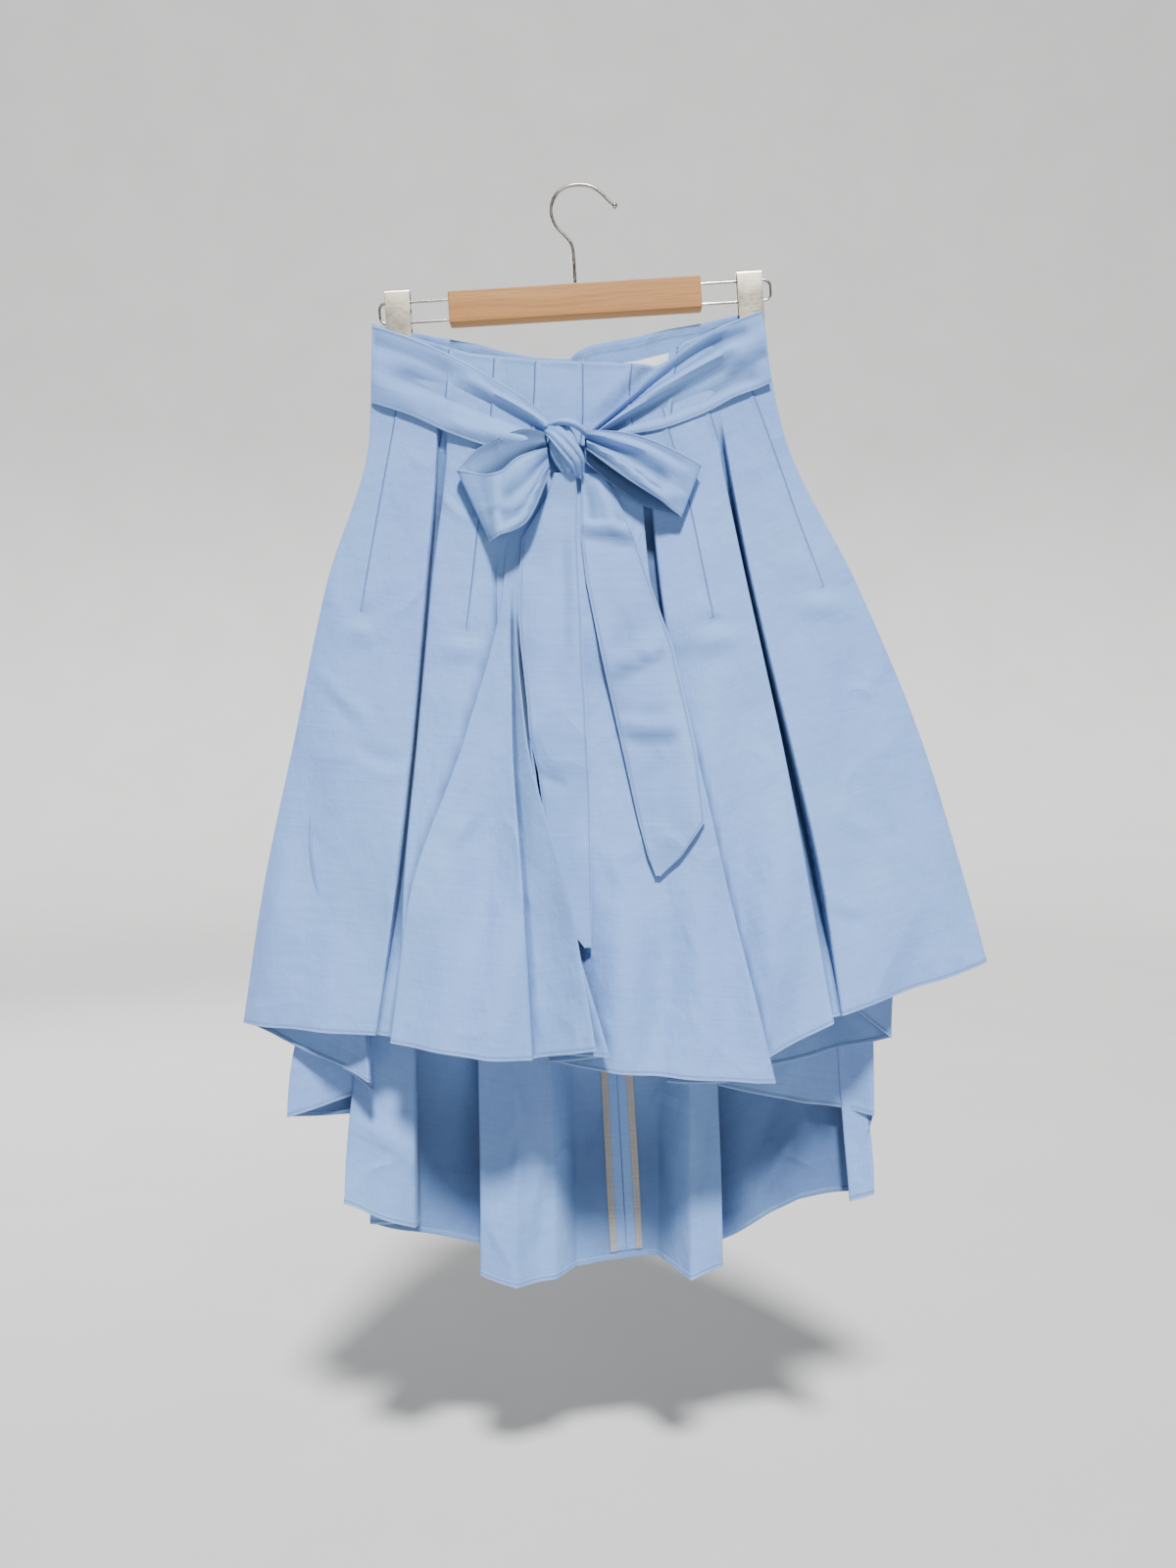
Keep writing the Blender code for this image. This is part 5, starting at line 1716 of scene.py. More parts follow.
# ---------------- the ribbon
@dataclass
class Ribbon:
    """Wide ribbon tied in a bow: two bands, two loops, two tails and the knot."""

    skirt: Skirt
    half: float = 0.42
    across: tuple[float, ...] = (0.0, 0.012, 0.024, 0.034, 0.046, 0.07, 0.11, 0.16, 0.215, 0.27, 0.33, 0.39,
                                 0.445, 0.5, 0.555, 0.61, 0.67, 0.73, 0.785, 0.84, 0.89, 0.93, 0.954,
                                 0.966, 0.976, 0.988, 1.0)
    stitch_at: float = 0.034
    groove_width: float = 0.013  # shares of the width, as stitch_at
    highlight_width: float = 0.012
    knot: tuple[float, float, float] = (-12.0, -23.5, -232.0)
    runs: list[Array] = field(default_factory=list)

    def near_edge(self) -> Array:
        """Distance of each line of the ribbon from its nearer edge, as a share of the width."""
        across = np.array(self.across)
        return np.minimum(across, 1 - across)

    def walls(self) -> Array:
        """Wall across the ribbon: fuller at its edges and pinched at the stitches.

        Returns:
            Half the thickness of each line of the ribbon.
        """
        near = self.near_edge()
        fuller = np.where(near < self.stitch_at, 0.16, 0.0)
        edge = fuller - 0.2 * np.exp(-((near - self.stitch_at) / 0.006) ** 2)
        return self.half + edge + np.where(near < 0.005, -0.22, 0.0)

    def band_grid(self, stations: Sequence[Station], parts: int, bow: float,
                  relief: Sequence[tuple[float, ...]]) -> Array:
        """Grid of a ribbon through its stations.

        Args:
            stations: cross lines.
            parts: steps between two stations.
            bow: how far the middle of the ribbon stands forwards.
            relief: ridges, each as start along, start across, end along, end across, half width
                along and across the ribbon and rise, where along counts stations.

        Returns:
            Points, across the ribbon by along it.
        """
        rows = spline(stations, parts)
        along = np.linspace(0, len(stations) - 1, len(rows))
        grid = np.empty((len(self.across), len(rows), 3))
        for j, (ux, uz, lx, lz, off) in enumerate(rows):
            for i, t in enumerate(self.across):
                x, z = ux + (lx - ux) * t, uz + (lz - uz) * t
                rise = 0.0
                for s0, t0, s1, t1, wide, fade, high in relief:
                    d = np.array((s1 - s0, t1 - t0))
                    k = ((along[j] - s0) * d[0] + (t - t0) * d[1]) / (d @ d)
                    out = max(0.0, -k, k - 1) * math.hypot(*d)
                    k = min(max(k, 0), 1)
                    miss = t - (t0 + d[1] * k) if abs(d[0]) > 1e-6 else along[j] - s0
                    rise += high * math.exp(-(miss / wide) ** 2 - (out / fade) ** 2)
                y = self.skirt.plain_y(Side.FRONT, x, z) - off - bow * 4 * t * (1 - t) - rise
                grid[i, j] = (x, y, z)
        grid[:, :, 1] -= self.skirt.lift_front(grid[:, :, 0], grid[:, :, 2])
        return grid

    def shaded_mouth(self, shade: Array, mouth: int) -> Array:
        """Paint shade into a loop inside its mouth and beside the knot.

        Args:
            shade: painted shade of both faces.
            mouth: face that looks into the loop, 0 the outer and 1 the inner.

        Returns:
            The new painted shade.
        """
        along, across = np.linspace(0, 1, shade.shape[2])[None, :], np.array(self.across)[:, None]
        pinch = np.exp(-(np.minimum(along, 1 - along) / 0.05) ** 2)
        shade = np.maximum(shade, 0.8 * pinch * np.exp(-((across - 0.25) / 0.35) ** 2))
        shade[mouth] = np.maximum(shade[mouth], 0.25 + 0.75 * (1 - smooth((along - 0.1) / 0.4)))
        return shade

    def lay(self, name: str, node: str, grid: Array, sides: Sequence[float] = (1.0,),
            turned: bool = False, mouth: int | None = None) -> None:
        """Make one length of ribbon and note its stitch lines.

        Args:
            name: name of the piece.
            node: frame node that it stands for.
            grid: points; the ribbon's width runs down its rows, or across them where turned.
            sides: faces that carry stitches, 1 the outer and -1 the inner.
            turned: True where the width runs along the columns.
            mouth: face that looks into a loop, 0 the outer and 1 the inner.
        """
        near = self.near_edge()
        # Painted shade in the stitch grooves and the ribbon's hollows, and a painted highlight along its
        # edges.
        groove = 0.7 * np.exp(-((near - self.stitch_at) / self.groove_width) ** 2)
        highlight_share = np.clip(1.5 - near / self.highlight_width, 0, 1) * 0.9
        wall, highlight_share, groove = (line.reshape((1, -1) if turned else (-1, 1))
                              for line in (self.walls(), highlight_share, groove))
        shade = np.stack([np.maximum(groove, 0.6 * hollows(grid, 3, 1.3))] * 2)
        if mouth is not None:
            shade = self.shaded_mouth(shade, mouth)
        piece = belongs(add_shell(name, grid, wall, wall, self.skirt.finishes.ribbon, highlight_share, shade),
                        "ribbon", node)
        run, normals = grid, grid_normals(grid)
        if turned:
            run, normals = grid.transpose(1, 0, 2), normals.transpose(1, 0, 2)
        k = self.across.index(self.stitch_at)
        self.runs += [run[index] + side * normals[index] * (self.half + 0.03)
                      for side in sides for index in (k, len(self.across) - 1 - k)]

    def bands(self) -> None:
        """Bands from the side seams to the knot."""
        left = ((2.0, 0.5, 5.2, 0.42, 0.14, 0.6, -5.0), (3.4, 0.86, 6.0, 0.7, 0.09, 0.4, 3.2),
                (0.6, 0.2, 2.8, 0.24, 0.11, 0.5, -2.6), (3.8, 0.2, 6.0, 0.25, 0.08, 0.4, 3.4),
                (0.3, 0.7, 1.8, 0.8, 0.12, 0.4, 1.8), (2.8, 0.06, 4.4, 0.05, 0.05, 0.4, 1.4))
        right = ((2.4, 0.36, 6.0, 0.46, 0.07, 0.5, 5.0), (2.0, 0.19, 6.0, 0.22, 0.08, 0.6, -3.8),
                 (1.4, 0.8, 5.6, 0.7, 0.13, 0.5, -3.8), (0.4, 0.35, 1.8, 0.45, 0.12, 0.4, 2.0),
                 (0.5, 0.6, 2.0, 0.66, 0.08, 0.4, -2.0), (2.6, 0.05, 5.6, 0.05, 0.05, 0.4, 3.0),
                 (2.6, 0.56, 5.8, 0.6, 0.06, 0.4, -2.0))
        self.lay("ribbon_band_left", "sash_left", self.band_grid(BAND_LEFT, 12, 1.5, left))
        self.lay("ribbon_band_right", "sash_right", self.band_grid(BAND_RIGHT, 12, 1.5, right)[:, ::-1])

    def loops(self) -> None:
        """Both loops of the bow."""
        left = ((6.0, 0.0, 6.0, 1.0, 0.22, 0.3, 3.6), (6.3, 0.97, 8.0, 0.66, 0.10, 0.2, 4.5),
                (6.6, 0.42, 8.0, 0.36, 0.15, 0.3, -2.0), (6.5, 0.2, 7.6, 0.14, 0.12, 0.3, 2.4),
                (0.3, 0.34, 2.6, 0.24, 0.10, 0.3, 3.4), (0.3, 0.6, 2.8, 0.5, 0.11, 0.3, -3.0),
                (1.0, 0.12, 2.8, 0.1, 0.07, 0.3, -1.6), (7.0, 0.3, 8.0, 0.25, 0.05, 0.3, 1.6),
                (6.9, 0.72, 8.0, 0.6, 0.05, 0.3, -2.2), (6.0, 0.6, 6.8, 0.8, 0.08, 0.3, -2.0))
        right = ((5.0, 0.95, 7.0, 0.62, 0.11, 0.3, 4.2), (5.1, 0.55, 7.0, 0.42, 0.12, 0.3, -4.5),
                 (4.6, 0.3, 6.6, 0.22, 0.12, 0.4, 2.6), (4.6, 0.12, 6.2, 0.1, 0.07, 0.4, -1.4),
                 (0.3, 0.5, 2.0, 0.45, 0.14, 0.3, -2.4), (5.2, 0.8, 7.0, 0.55, 0.04, 0.3, -2.6),
                 (5.6, 0.36, 7.0, 0.34, 0.04, 0.3, -2.0), (4.3, 0.7, 5.0, 0.86, 0.09, 0.3, 1.8))
        for side, stations, relief, mouth in (("left", LOOP_LEFT, left, 1), ("right", LOOP_RIGHT, right, 0)):
            self.lay(f"bow_loop_{side}_ribbon", f"bow_loop_{side}", self.band_grid(stations, 10, 0, relief),
                     (1.0, -1.0), mouth=mouth)

    def hanging_grid(self, rows: Sequence[Hang], parts: int, skin: BVHTree, clearance: float,
                     creases: Sequence[Crease | Puff]) -> Array:
        """Grid of a tail that hangs on a surface.

        Args:
            rows: levels of the tail.
            parts: steps between two levels.
            skin: surface that it lies on.
            clearance: distance kept in front of it.
            creases: relief of the tail itself.

        Returns:
            Points, down the tail by across it.
        """
        levels = [np.array(rows[0], float)]
        for a, b in zip(rows, rows[1:]):
            levels += [np.array(a) + (np.array(b) - np.array(a)) * k / parts for k in range(1, parts + 1)]
        grid = np.empty((len(levels), len(self.across), 3))
        for i, (z, left, right, tuck) in enumerate(levels):
            wide = max((right - left) / 6, 1.0)
            for j, t in enumerate(self.across):
                x = left + (right - left) * t
                relief = [tuck]
                for dx in (-1.0, -0.5, 0.0, 0.5, 1.0):
                    for dz in (-12.0, -6.0, 0.0, 6.0, 12.0):
                        px, pz = x + dx * wide, z + dz
                        base = self.skirt.plain_y(Side.FRONT, px, pz)
                        relief.append(front_depth(skin, px, pz, base + 99) - base)
                y = self.skirt.plain_y(Side.FRONT, x, z) + min(relief) - clearance
                grid[i, j] = (x, y, z)
        for _ in range(10):
            for y in (grid[:, :, 1], grid[:, :, 1].T):
                y[1:-1] = np.minimum(y[1:-1], (y[:-2] + y[1:-1] + y[2:]) / 3)
        for item in creases:
            grid[:, :, 1] -= item.lift(grid[:, :, 0], grid[:, :, 2])
        return grid

    def tails(self) -> None:
        """Both tails of the bow."""
        skirt = self.skirt
        first, last = (skirt.starts[name] - skirt.seams[2] + skirt.round_points
                       for name in ("second inner", "broad pleat edge"))
        count = skirt.sheet.shape[1]
        lap = skirt.front[:, (first - 1) % count:last % count]
        left = (Puff(-20, -300, 16, 20, 2.4), Crease(((-46, -500), (-30, -507), (-8, -516)), 5, -1.6),
                Crease(((-40, -330), (-30, -400), (-28, -470)), 10, 1.9),
                Crease(((-12, -290), (-10, -360), (-8, -420)), 6, -1.7))
        right = (Crease(((-4, -296), (24, -299), (50, -303)), 5, 3.0),
                 Crease(((-4, -305), (24, -309), (50, -313)), 6, -2.4),
                 Crease(((18, -418), (44, -408), (70, -396)), 5, 2.2),
                 Crease(((22, -426), (46, -418), (72, -406)), 6, -1.4),
                 Crease(((30, -463), (52, -468), (84, -465)), 5, 2.8),
                 Crease(((30, -472), (54, -477), (84, -474)), 6, -1.8),
                 Crease(((12, -256), (22, -280), (30, -303)), 5, 2.8),
                 Crease(((4, -256), (9, -280), (12, -300)), 4, -2.0),
                 Crease(((62, -540), (70, -560), (82, -566)), 7, 1.2),
                 Puff(40, -350, 14, 22, 1.8), Puff(70, -520, 16, 20, 1.6))
        for side, levels, parts, skin, gap, relief in (
                ("left", TAIL_LEFT, 7, lap, 2.8, left), ("right", TAIL_RIGHT, 8, skirt.front, 3.2, right)):
            self.lay(f"bow_tail_{side}", f"tail_{side}",
                     self.hanging_grid(levels, parts, tree_of(skin), gap, relief), turned=True)

    def strap(self, name: str, path: Sequence[Sequence[float]], lobes: int, deep: float,
              turn: float) -> Piece:
        """Gathered length of ribbon wrapped round the knot.

        Args:
            name: name of the piece.
            path: x, y, z, width and thickness along its centre line.
            lobes: pleats across its face.
            deep: depth of the pleats.
            turn: how far the pleats wander across from end to end.

        Returns:
            The piece.
        """
        rows = spline(path, 9)
        centre = np.array(self.knot)
        tangent = np.gradient(rows[:, :3], axis=0)
        tangent /= np.linalg.norm(tangent, axis=1)[:, None]
        around = np.linspace(0, 2 * math.pi, 56, endpoint=False)
        rings = []
        for i, (row, way) in enumerate(zip(rows, tangent)):
            out = row[:3] - centre + (0, -6.0, 0)
            out -= way * (out @ way)
            out /= np.linalg.norm(out)
            side = np.cross(way, out)
            share = i / (len(rows) - 1)
            c, s = np.cos(around), np.sin(around)
            u = np.sign(c) * np.abs(c) ** 0.8 * row[3] / 2
            pleat = deep * np.abs(np.sin(lobes * math.pi * (c * 0.5 + 0.5 + turn * share))) ** 0.7
            w = np.sign(s) * np.abs(s) ** 0.7 * row[4] / 2 + np.where(s > 0, pleat * np.abs(s) ** 0.5, 0)
            rings.append(row[:3] + u[:, None] * side + w[:, None] * out)
        # painted shade in the hollows between the knot's pleats
        shut = np.tile(np.abs(np.sin(lobes * math.pi * (np.cos(around) * 0.5 + 0.5))) ** 0.5, len(rows))
        down = np.repeat(run_along(rows[:, :3]), len(around))
        uv = np.stack((np.tile(around * 6, len(rows)), down), axis=1) * MM
        made = add_tube(name, rings, self.skirt.finishes.ribbon, 70.0, uv, 0.5 * (1 - shut))
        return belongs(made, "ribbon")

    def tie(self) -> None:
        """The knot: a core with one strap drawn over it and one across its top."""
        core = self.strap("knot_core", ((-14, -17, -214, 10, 8), (-15, -22, -222, 20, 11),
                                        (-13, -23, -234, 25, 13), (-10, -21, -246, 20, 11),
                                        (-9, -16, -254, 10, 7)), 3, 1.6, 0.3)
        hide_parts("bow_knot")
        self.strap("knot_wrap", ((-26, -15, -218, 7, 4.5), (-24, -22, -219, 12, 5.5), (-19, -28, -224, 15, 6),
                                 (-11, -30, -234, 17, 6.5), (-4, -28, -244, 16, 6), (-2, -22, -251, 11, 5.5),
                                 (-4, -15, -254, 7, 4.5)), 3, 1.7, 0.45)
        self.strap("knot_top", ((-26, -17, -214, 7, 4.5), (-16, -24, -212, 13, 5), (-5, -26, -214, 15, 5),
                                (4, -22, -220, 12, 4.5), (9, -16, -226, 7, 4)), 2, 1.1, 0.3)
        LOG.info("knot: core, wrap and top strap")

    def build(self) -> None:
        """Make the whole ribbon."""
        self.bands()
        self.loops()
        self.tails()
        self.tie()


# ---------------- trimmings inside
@dataclass
class Trimmings:
    """Pressed-open seam inside the back, its tape bindings, and the label in the waist."""

    skirt: Skirt
    seam_lines: Path1 = (0.4, 1.2, 3.5, 6, 8.0, 10, 11.6)  # distances from the seam
    tape_lines: Path1 = (8.6, 9.0, 10.1, 11.6, 13.1, 14.2, 14.6)
    rows: tuple[int, int] = (6, -8)  # first and last row, off the waist edge and the hem
    label_x: tuple[float, float] = (37.0, 83.0)
    label_drop: float = 21.0
    label_height: float = 17.0

    def beside_seam(self, step: int, distances: Sequence[float]) -> Array:
        """Grid at set distances along the cloth from the centre back seam.

        Args:
            step: -1 towards the right back and 1 towards the left back.
            distances: distances from the seam in millimetres.

        Returns:
            Rows by distances by 3.
        """
        sheet, column = self.skirt.sheet, self.skirt.seams[1]
        grid = np.empty((sheet.shape[0], len(distances), 3))
        for r in range(sheet.shape[0]):
            line = sheet[r, [(column + step * k) % sheet.shape[1] for k in range(26)]]
            run = run_along(line)
            for j, distance in enumerate(distances):
                grid[r, j] = [np.interp(distance, run, line[:, axis]) for axis in range(3)]
        return grid

    def build(self) -> list[Array]:
        """Make the seam, tapes and label.

        Returns:
            Lines for the stitches on the tapes.
        """
        runs, finishes, rows = [], self.skirt.finishes, slice(*self.rows)
        for side, step in (("right", -1), ("left", 1)):
            for kind, lines, off, wall, finish, slot, nodes in (
                    ("seam_allowance", self.seam_lines, 0.75, 0.18, finishes.cloth, "cloth", ()),
                    ("tape", self.tape_lines, 1.15, 0.42, finishes.tape, "binding", ("binding_" + side,))):
                grid = self.beside_seam(step, lines)[:, ::step]
                grid = grid - grid_normals(grid) * off
                made = add_shell(f"{kind}_{side}", grid[rows], wall, wall, finish, np.zeros((1, 1)))
                belongs(made, slot, *nodes)
                if kind == "tape":
                    inside = grid - grid_normals(grid) * (wall + 0.08)
                    runs += [inside[rows, line] for line in (2, 4)]
        label = np.empty((9, 21, 3))
        for i, t in enumerate(np.linspace(0, 1, 9)):
            for j, x in enumerate(np.linspace(self.label_x[1], self.label_x[0], 21)):
                z = self.skirt.waist_edge(Side.BACK, x, False) - self.label_drop - self.label_height * t
                label[i, j] = (x, self.skirt.plain_y(Side.BACK, x, z) - 1.4 - 0.5 * t * (1 - t), z)
        made = add_shell("label_blank", label, 0.25, 0.25, finishes.label, np.zeros((1, 1)))
        belongs(made, "label", "waist_label")
        LOG.info("trimmings: two seam allowances, two tapes, blank label")
        return runs


# ---------------- the hanger
@dataclass
class Hanger:
    """Clip hanger: timber bar, wire hook, a wire rail at each end and two sliding clips."""

    finishes: Wardrobe
    tilt: float = BAR_TILT
    bar_centre: Point3 = (-4.5, 0.0, -102.0)
    bar_size: Point3 = (216.0, 14.0, 27.5)
    bar_round: float = 1.3
    hook_wire: float = 1.5
    rail_wire: float = 1.2
    hook_path: Path2 = ((-4.4, -87.3), (-5.0, -76), (-6.3, -58), (-8.8, -50.5), (-15, -43.5), (-21, -37),
                        (-25, -27), (-24.5, -18), (-19.5, -8.5), (-11, -3), (0, -1.5), (9.5, -3.2),
                        (17.5, -8.5), (23, -14), (27, -17.8))
    collar_heights: Path1 = (-88.6, -87.6, -87.0, -86.2)
    collar_radii: Path1 = (2.6, 2.6, 2.3, 1.7)
    ball: Point3 = (29.3, -19.6, 2.6)  # x, z and radius
    ball_axis: Point3 = (0.77, 0.0, -0.64)
    rail_reach: float = 60.0
    rail_pitch: float = 17.5
    rail_bend: float = 5.5
    clip_size: tuple[float, float] = (21.0, 50.0)
    clip_plate: float = 1.3
    clip_half: float = 4.5
    clip_bend: float = 3.2
    clips: tuple[tuple[str, float, float], ...] = (("left", -156.7, -92.5), ("right", 144.0, -76.0))

    def tilted(self, x: float, z: float) -> tuple[float, float]:
        """Point of the hanger's own x, z turned by its tilt about the bar's centre."""
        c, s = math.cos(self.tilt), math.sin(self.tilt)
        return self.bar_centre[0] + x * c - z * s, self.bar_centre[2] + x * s + z * c

    def flat_path(self, line: Sequence[tuple[float, float]]) -> Array:
        """Path in the plane of the bar, from the hanger's own x and z."""
        return np.array([(x, 0, z) for x, z in (self.tilted(*point) for point in line)])

    def wire(self, name: str, path: Array, radius: Any, around: int, *nodes: str) -> None:
        """Add a wire of the hanger, which stands for some frame nodes."""
        belongs(add_wire(name, path, radius, self.finishes.wire, around), "steel", *nodes)

    def bar(self) -> None:
        """Timber bar with eased edges, and the eyelets where the wires go in."""
        half_x, half_y, half_z = (s / 2 for s in self.bar_size)
        r = self.bar_round
        outline = [(cx - math.copysign(r, cx) + r * math.cos(a), cz - math.copysign(r, cz) + r * math.sin(a))
                   for cx, cz, start in ((half_x, half_z, 0), (-half_x, half_z, 90),
                                         (-half_x, -half_z, 180), (half_x, -half_z, 270))
                   for a in np.radians(np.linspace(start, start + 90, 5))]
        rings = []
        for a in np.radians(np.linspace(-90, 90, 13)):
            y, shrink = (half_y - r) * np.sign(a) + r * math.sin(a), r * (1 - math.cos(a))
            smaller = [(x - math.copysign(min(shrink, abs(x)), x), z - math.copysign(min(shrink, abs(z)), z))
                       for x, z in outline]
            rings.append(self.flat_path(smaller) + (0, y, 0))
        belongs(add_tube("bar_timber", rings, self.finishes.timber, 60.0), "wood", "hanger_bar")
        for name, side in (("left", -1), ("right", 1)):
            for level, z in (("upper", self.rail_pitch / 2), ("lower", -self.rail_pitch / 2)):
                line = self.flat_path([(side * (half_x - 0.5 + d), z) for d in (0, 0.4, 0.8)])
                self.wire(f"eyelet_{name}_{level}", line, np.array((2.1, 2.1, 1.7)), 18)
        neck = np.array([(self.hook_path[0][0], 0, h) for h in self.collar_heights])
        self.wire("hook_collar", neck, np.array(self.collar_radii), 20)

    def hook(self) -> None:
        """Bent hook and its ball end."""
        line = spline(self.hook_path, 8)
        path = np.stack((line[:, 0], np.zeros(len(line)), line[:, 1]), axis=1)
        self.wire("hook_wire", path, self.hook_wire, 16, "hanger_hook")
        x, z, r = self.ball
        steps = np.linspace(0.03, math.pi - 0.03, 15)
        path = np.array([np.array((x, 0, z)) - np.array(self.ball_axis) * r * math.cos(a) for a in steps])
        self.wire("hook_ball", path, r * np.sin(steps), 20, "hanger_ball")

    def rail(self, side: int, name: str) -> None:
        """Wire rail at one end of the bar.

        Args:
            side: -1 left, 1 right.
            name: left or right.
        """
        start, r, bend = self.bar_size[0] / 2 - 0.3, self.rail_pitch / 2, self.rail_bend
        far = start + self.rail_reach
        quarter = np.linspace(0, math.pi / 2, 8)
        straight = [start + (far - bend - start) * k / 6 for k in range(7)]
        line = [(x, r) for x in straight]
        line += [(far - bend + bend * math.sin(a), r - bend + bend * math.cos(a)) for a in quarter[1:]]
        line += [(far - bend + bend * math.cos(a), bend - r - bend * math.sin(a)) for a in quarter]
        line += [(x, -r) for x in straight[-2::-1]]
        self.wire("rail_wire_" + name, self.flat_path([(side * x, z) for x, z in line]), self.rail_wire, 12,
                  "rail_" + name)

    def bent(self, half: float, radius: float) -> list[tuple[float, float]]:
        """Line over a clip, from its foot in front to its foot behind.

        Args:
            half: distance of its sides from the middle.
            radius: radius of its bends.

        Returns:
            y and drop of each point.
        """
        height, top = self.clip_size[1], -self.clip_bend
        line = [(-half, -height + 4), (-half, -height / 2), (-half, top)]
        line += [(-half + radius * (1 - math.cos(a)), top + radius * math.sin(a))
                 for a in np.linspace(0, math.pi / 2, 6)[1:]]
        return line + [(-y, drop) for y, drop in line[::-1]]

    def clip(self, name: str, x: float, z: float) -> None:
        """Folded clip: plate bent over the rail, sleeves on the wires and pads.

        Args:
            name: left or right.
            x: middle of its top.
            z: height of its top.
        """
        width, height = self.clip_size
        out, inn, bend = self.clip_half + self.clip_plate, self.clip_half, self.clip_bend
        sine, slope = math.sin(self.tilt), math.tan(self.tilt)
        profile = [(-out, -height + 0.5), *self.bent(out, bend), (out, -height + 0.5), (out - 0.4, -height),
                   (inn + 0.3, -height), (inn, -height + 0.4),
                   *self.bent(inn, bend - self.clip_plate)[::-1], (-inn, -height + 0.4),
                   (-inn - 0.3, -height), (-out + 0.4, -height)]
        rings = []
        for u, shrink in ((-1.0, 0.35), (-0.985, 0.08), (-0.96, 0.0), (0.96, 0.0), (0.985, 0.08),
                          (1.0, 0.35)):
            ring, dx = [], u * width / 2
            for y, drop in profile:
                centre_y = math.copysign((out + inn) / 2, y) if abs(y) > 0.2 else 0.0
                py = y + (centre_y - y) * shrink if drop < -bend else y
                top = shrink * 0.6 if drop > -1 else 0
                ring.append((x + dx - drop * sine, py, z + dx * slope + drop - top))
            rings.append(ring)
        plate = add_tube("clip_plate_" + name, rings, self.finishes.plate, 35.0)
        belongs(plate, "steel", "clip_" + name)
        rail_z = self.tilted((x - self.bar_centre[0]) / math.cos(self.tilt), self.rail_pitch / 2)[1]
        for level, h in (("upper", rail_z), ("lower", rail_z - self.rail_pitch)):
            path = np.array([(x + s, 0, h + s * slope) for s in (-7.5, -7.2, 7.2, 7.5)])
            belongs(add_wire(f"clip_sleeve_{name}_{level}", path, np.array((1.8, 2.3, 2.3, 1.8)),
                             self.finishes.plate, 16), "steel")
        for face, sign in (("front", -1), ("back", 1)):
            rings = []
            for s, thick in ((-1.0, 0.3), (-0.93, 1.0), (0.93, 1.0), (1.0, 0.3)):
                dx = s * (width / 2 - 1.0)
                rings.append([(x + dx - (up - height) * sine, sign * (inn - proud * thick),
                               z + dx * slope + up - height)
                              for proud, up in ((0, 11), (1.5, 10.4), (2.1, 6), (1.6, 1.6), (0, 1.0))])
            belongs(add_tube(f"clip_pad_{name}_{face}", rings, self.finishes.rubber, 40.0), "steel")

    def build(self) -> None:
        """Make the whole hanger."""
        self.bar()
        self.hook()
        for name, side in (("left", -1), ("right", 1)):
            self.rail(side, name)
        for name, x, z in self.clips:
            self.clip(name, x, z)
        LOG.info("hanger: bar, hook, two rails, two clips")


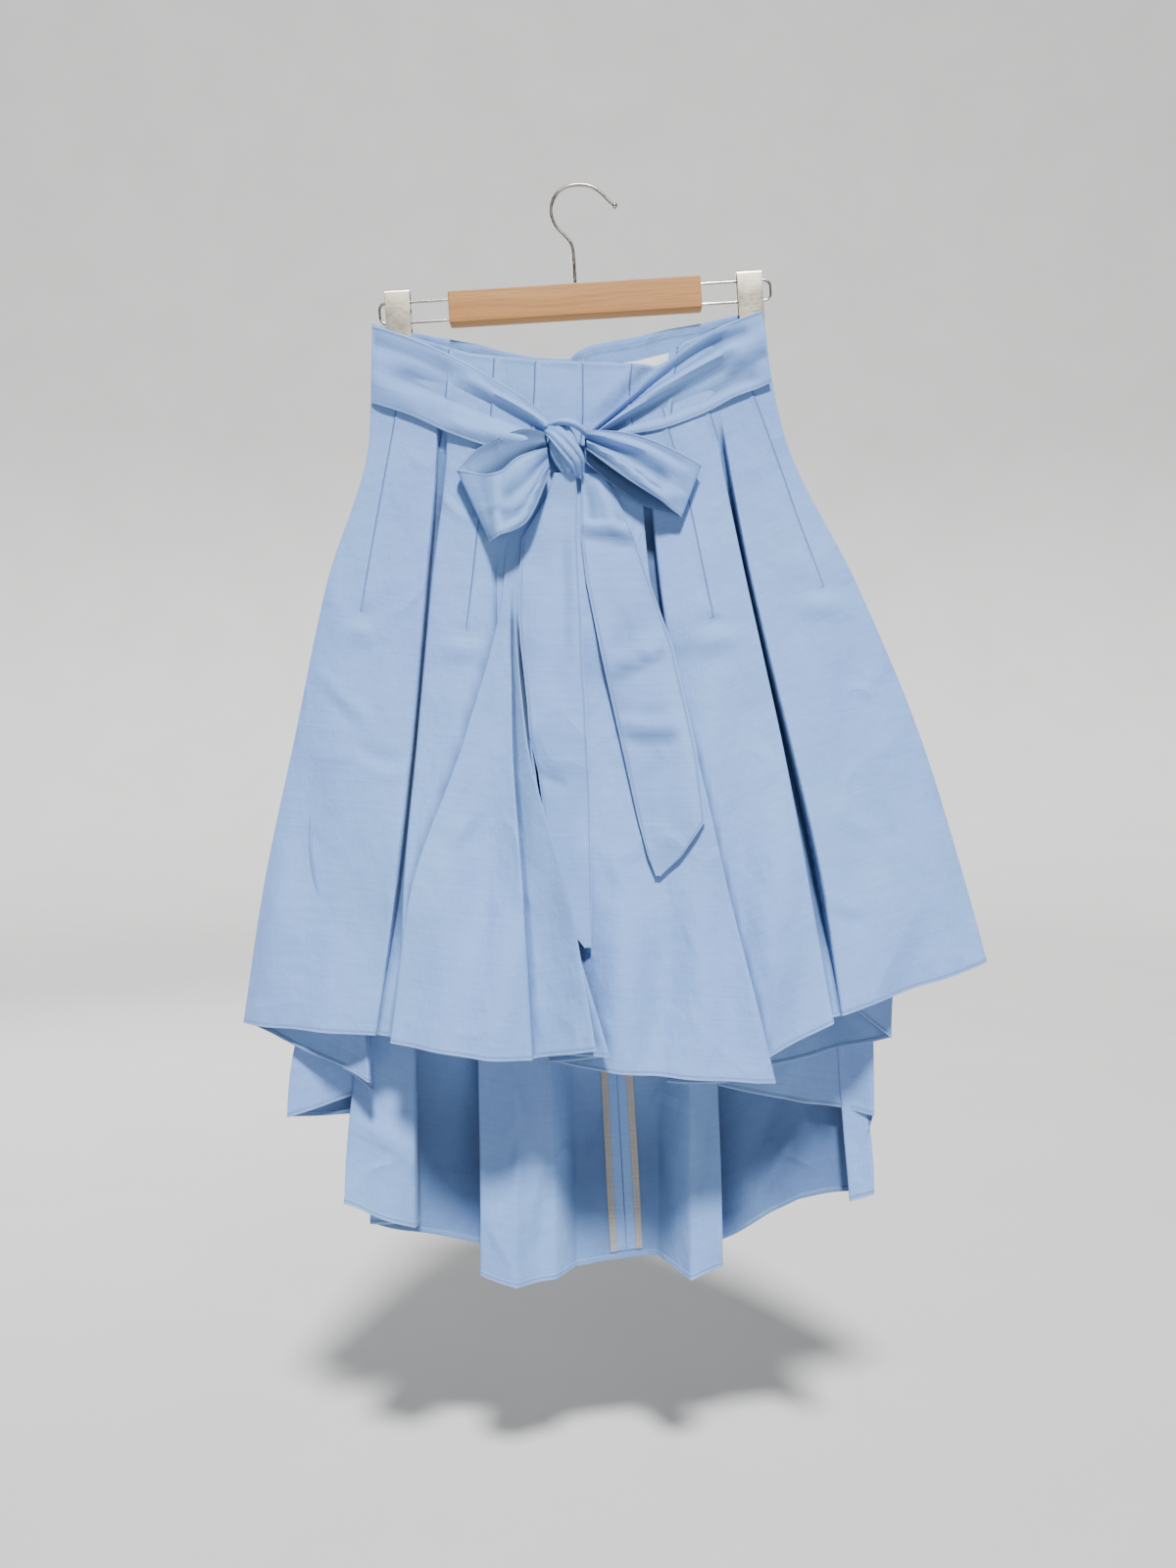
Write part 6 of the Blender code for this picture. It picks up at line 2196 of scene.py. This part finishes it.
# ---------------- studio
@dataclass(frozen=True)
class Studio:
    """Pale floor, soft light and the camera."""

    floor_z: float = -1.16
    flat: float = 4.5
    cove: float = 3.0
    wall: float = 7.0
    joint: float = 0.3  # floor between its flat disc and the cove
    wall_parts: int = 48
    floor_parts: int = 192
    camera_place: tuple[float, float, float] = (0.0067, -1.075, -0.512)
    lens: float = 28.8

    def lamp(self, name: str, kind: str, place: Sequence[float], aim: Sequence[float], size: float,
             power: float) -> None:
        """Soft lamp.

        Args:
            name: name of the lamp.
            kind: SUN for one far away, AREA for a square panel.
            place: where it stands.
            aim: the point that it faces.
            size: its angle in radians, or its side in metres.
            power: its strength.
        """
        data = bpy.data.lights.new(name, kind)
        data.energy = power
        setattr(data, "angle" if kind == "SUN" else "size", size)
        lamp = add_object(name, data)
        lamp.location = place
        lamp.rotation_euler = (Vector(aim) - Vector(place)).to_track_quat("-Z", "Y").to_euler()

    def backdrop(self) -> None:
        """Pale floor that curves up into a far wall on the back half."""
        start, turns = self.flat + self.joint, np.linspace(-0.25, math.pi + 0.25, self.wall_parts + 1)
        profile = [(self.flat, 0.0), (start, 0.0)]
        profile += [(start + self.cove * math.sin(a), self.cove * (1 - math.cos(a)))
                    for a in np.linspace(0, math.pi / 2, 14)[1:]] + [(start + self.cove, self.wall)]
        points = [(r * math.cos(a), r * math.sin(a), self.floor_z + h) for r, h in profile for a in turns]
        row = self.wall_parts + 1
        faces = [(i + j, i + j + 1, i + j + 1 + row, i + j + row)
                 for i in range(0, (len(profile) - 1) * row, row) for j in range(self.wall_parts)]
        first = len(points)
        points += [(self.flat * math.cos(a), self.flat * math.sin(a), self.floor_z)
                   for a in np.linspace(0, 2 * math.pi, self.floor_parts, endpoint=False)]
        faces.append(tuple(range(first, len(points))))
        mesh = bpy.data.meshes.new("floor")
        mesh.from_pydata(points, [], faces)
        mesh.polygons.foreach_set("use_smooth", [True] * (len(faces) - 1) + [False])
        mesh.materials.append(DabFinish("pale_floor", (0.44, 0.44, 0.435, 1.0), (0.42, 0.42, 0.415, 1.0),
                                        3.0, 0.0002, 0.85).build())
        add_object("floor", mesh)

    def build(self) -> None:
        """Make the backdrop, the lamps, the world and the camera."""
        self.backdrop()
        self.lamp("key", "SUN", (0.05, -0.78, 1.08), (0.0, 0.0, 0.0), 0.13, 9.1)
        self.lamp("fill", "AREA", (0.9, -2.2, -1.0), (0.0, 0.0, -0.6), 1.6, 20.0)
        self.lamp("back", "AREA", (-1.3, 2.1, 0.7), (0.0, 0.0, -0.5), 1.6, 60.0)
        world = bpy.data.worlds.new("studio")
        world.use_nodes = True
        sky = world.node_tree.nodes["Background"].inputs
        sky["Color"].default_value, sky["Strength"].default_value = (0.80, 0.81, 0.83, 1.0), 0.1
        bpy.context.scene.world = world
        data = bpy.data.cameras.new("camera")
        data.lens, data.sensor_width, data.clip_start = self.lens, 36.0, 0.05
        camera = add_object("camera", data)
        camera.location = self.camera_place
        camera.rotation_euler = (math.pi / 2, 0.0, 0.0)
        bpy.context.scene.camera = camera


def main() -> None:
    """Dress the frame, piece by piece."""
    logging.basicConfig(level=logging.INFO, format="%(name)s: %(message)s")
    for item in list(bpy.data.objects):
        bpy.data.objects.remove(item, do_unlink=True)
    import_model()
    Studio().build()
    finishes = Wardrobe()
    Hanger(finishes).build()
    skirt = Skirt(finishes)
    skirt.build()
    tuck_runs = Tucks(skirt).build()
    ribbon = Ribbon(skirt)
    ribbon.build()
    tape_runs = Trimmings(skirt).build()
    for name, runs, thread, slot in (
            ("hem_and_waist", skirt.edge_runs(), finishes.pale_thread, "cloth"),
            ("tucks", tuck_runs, finishes.thread, "cloth"),
            ("ribbon", ribbon.runs, finishes.pale_thread, "ribbon"),
            ("tape", tape_runs, finishes.pale_thread, "binding")):
        Sewing().sew("stitches_" + name, runs, thread, slot)


if __name__ == "__main__":
    main()
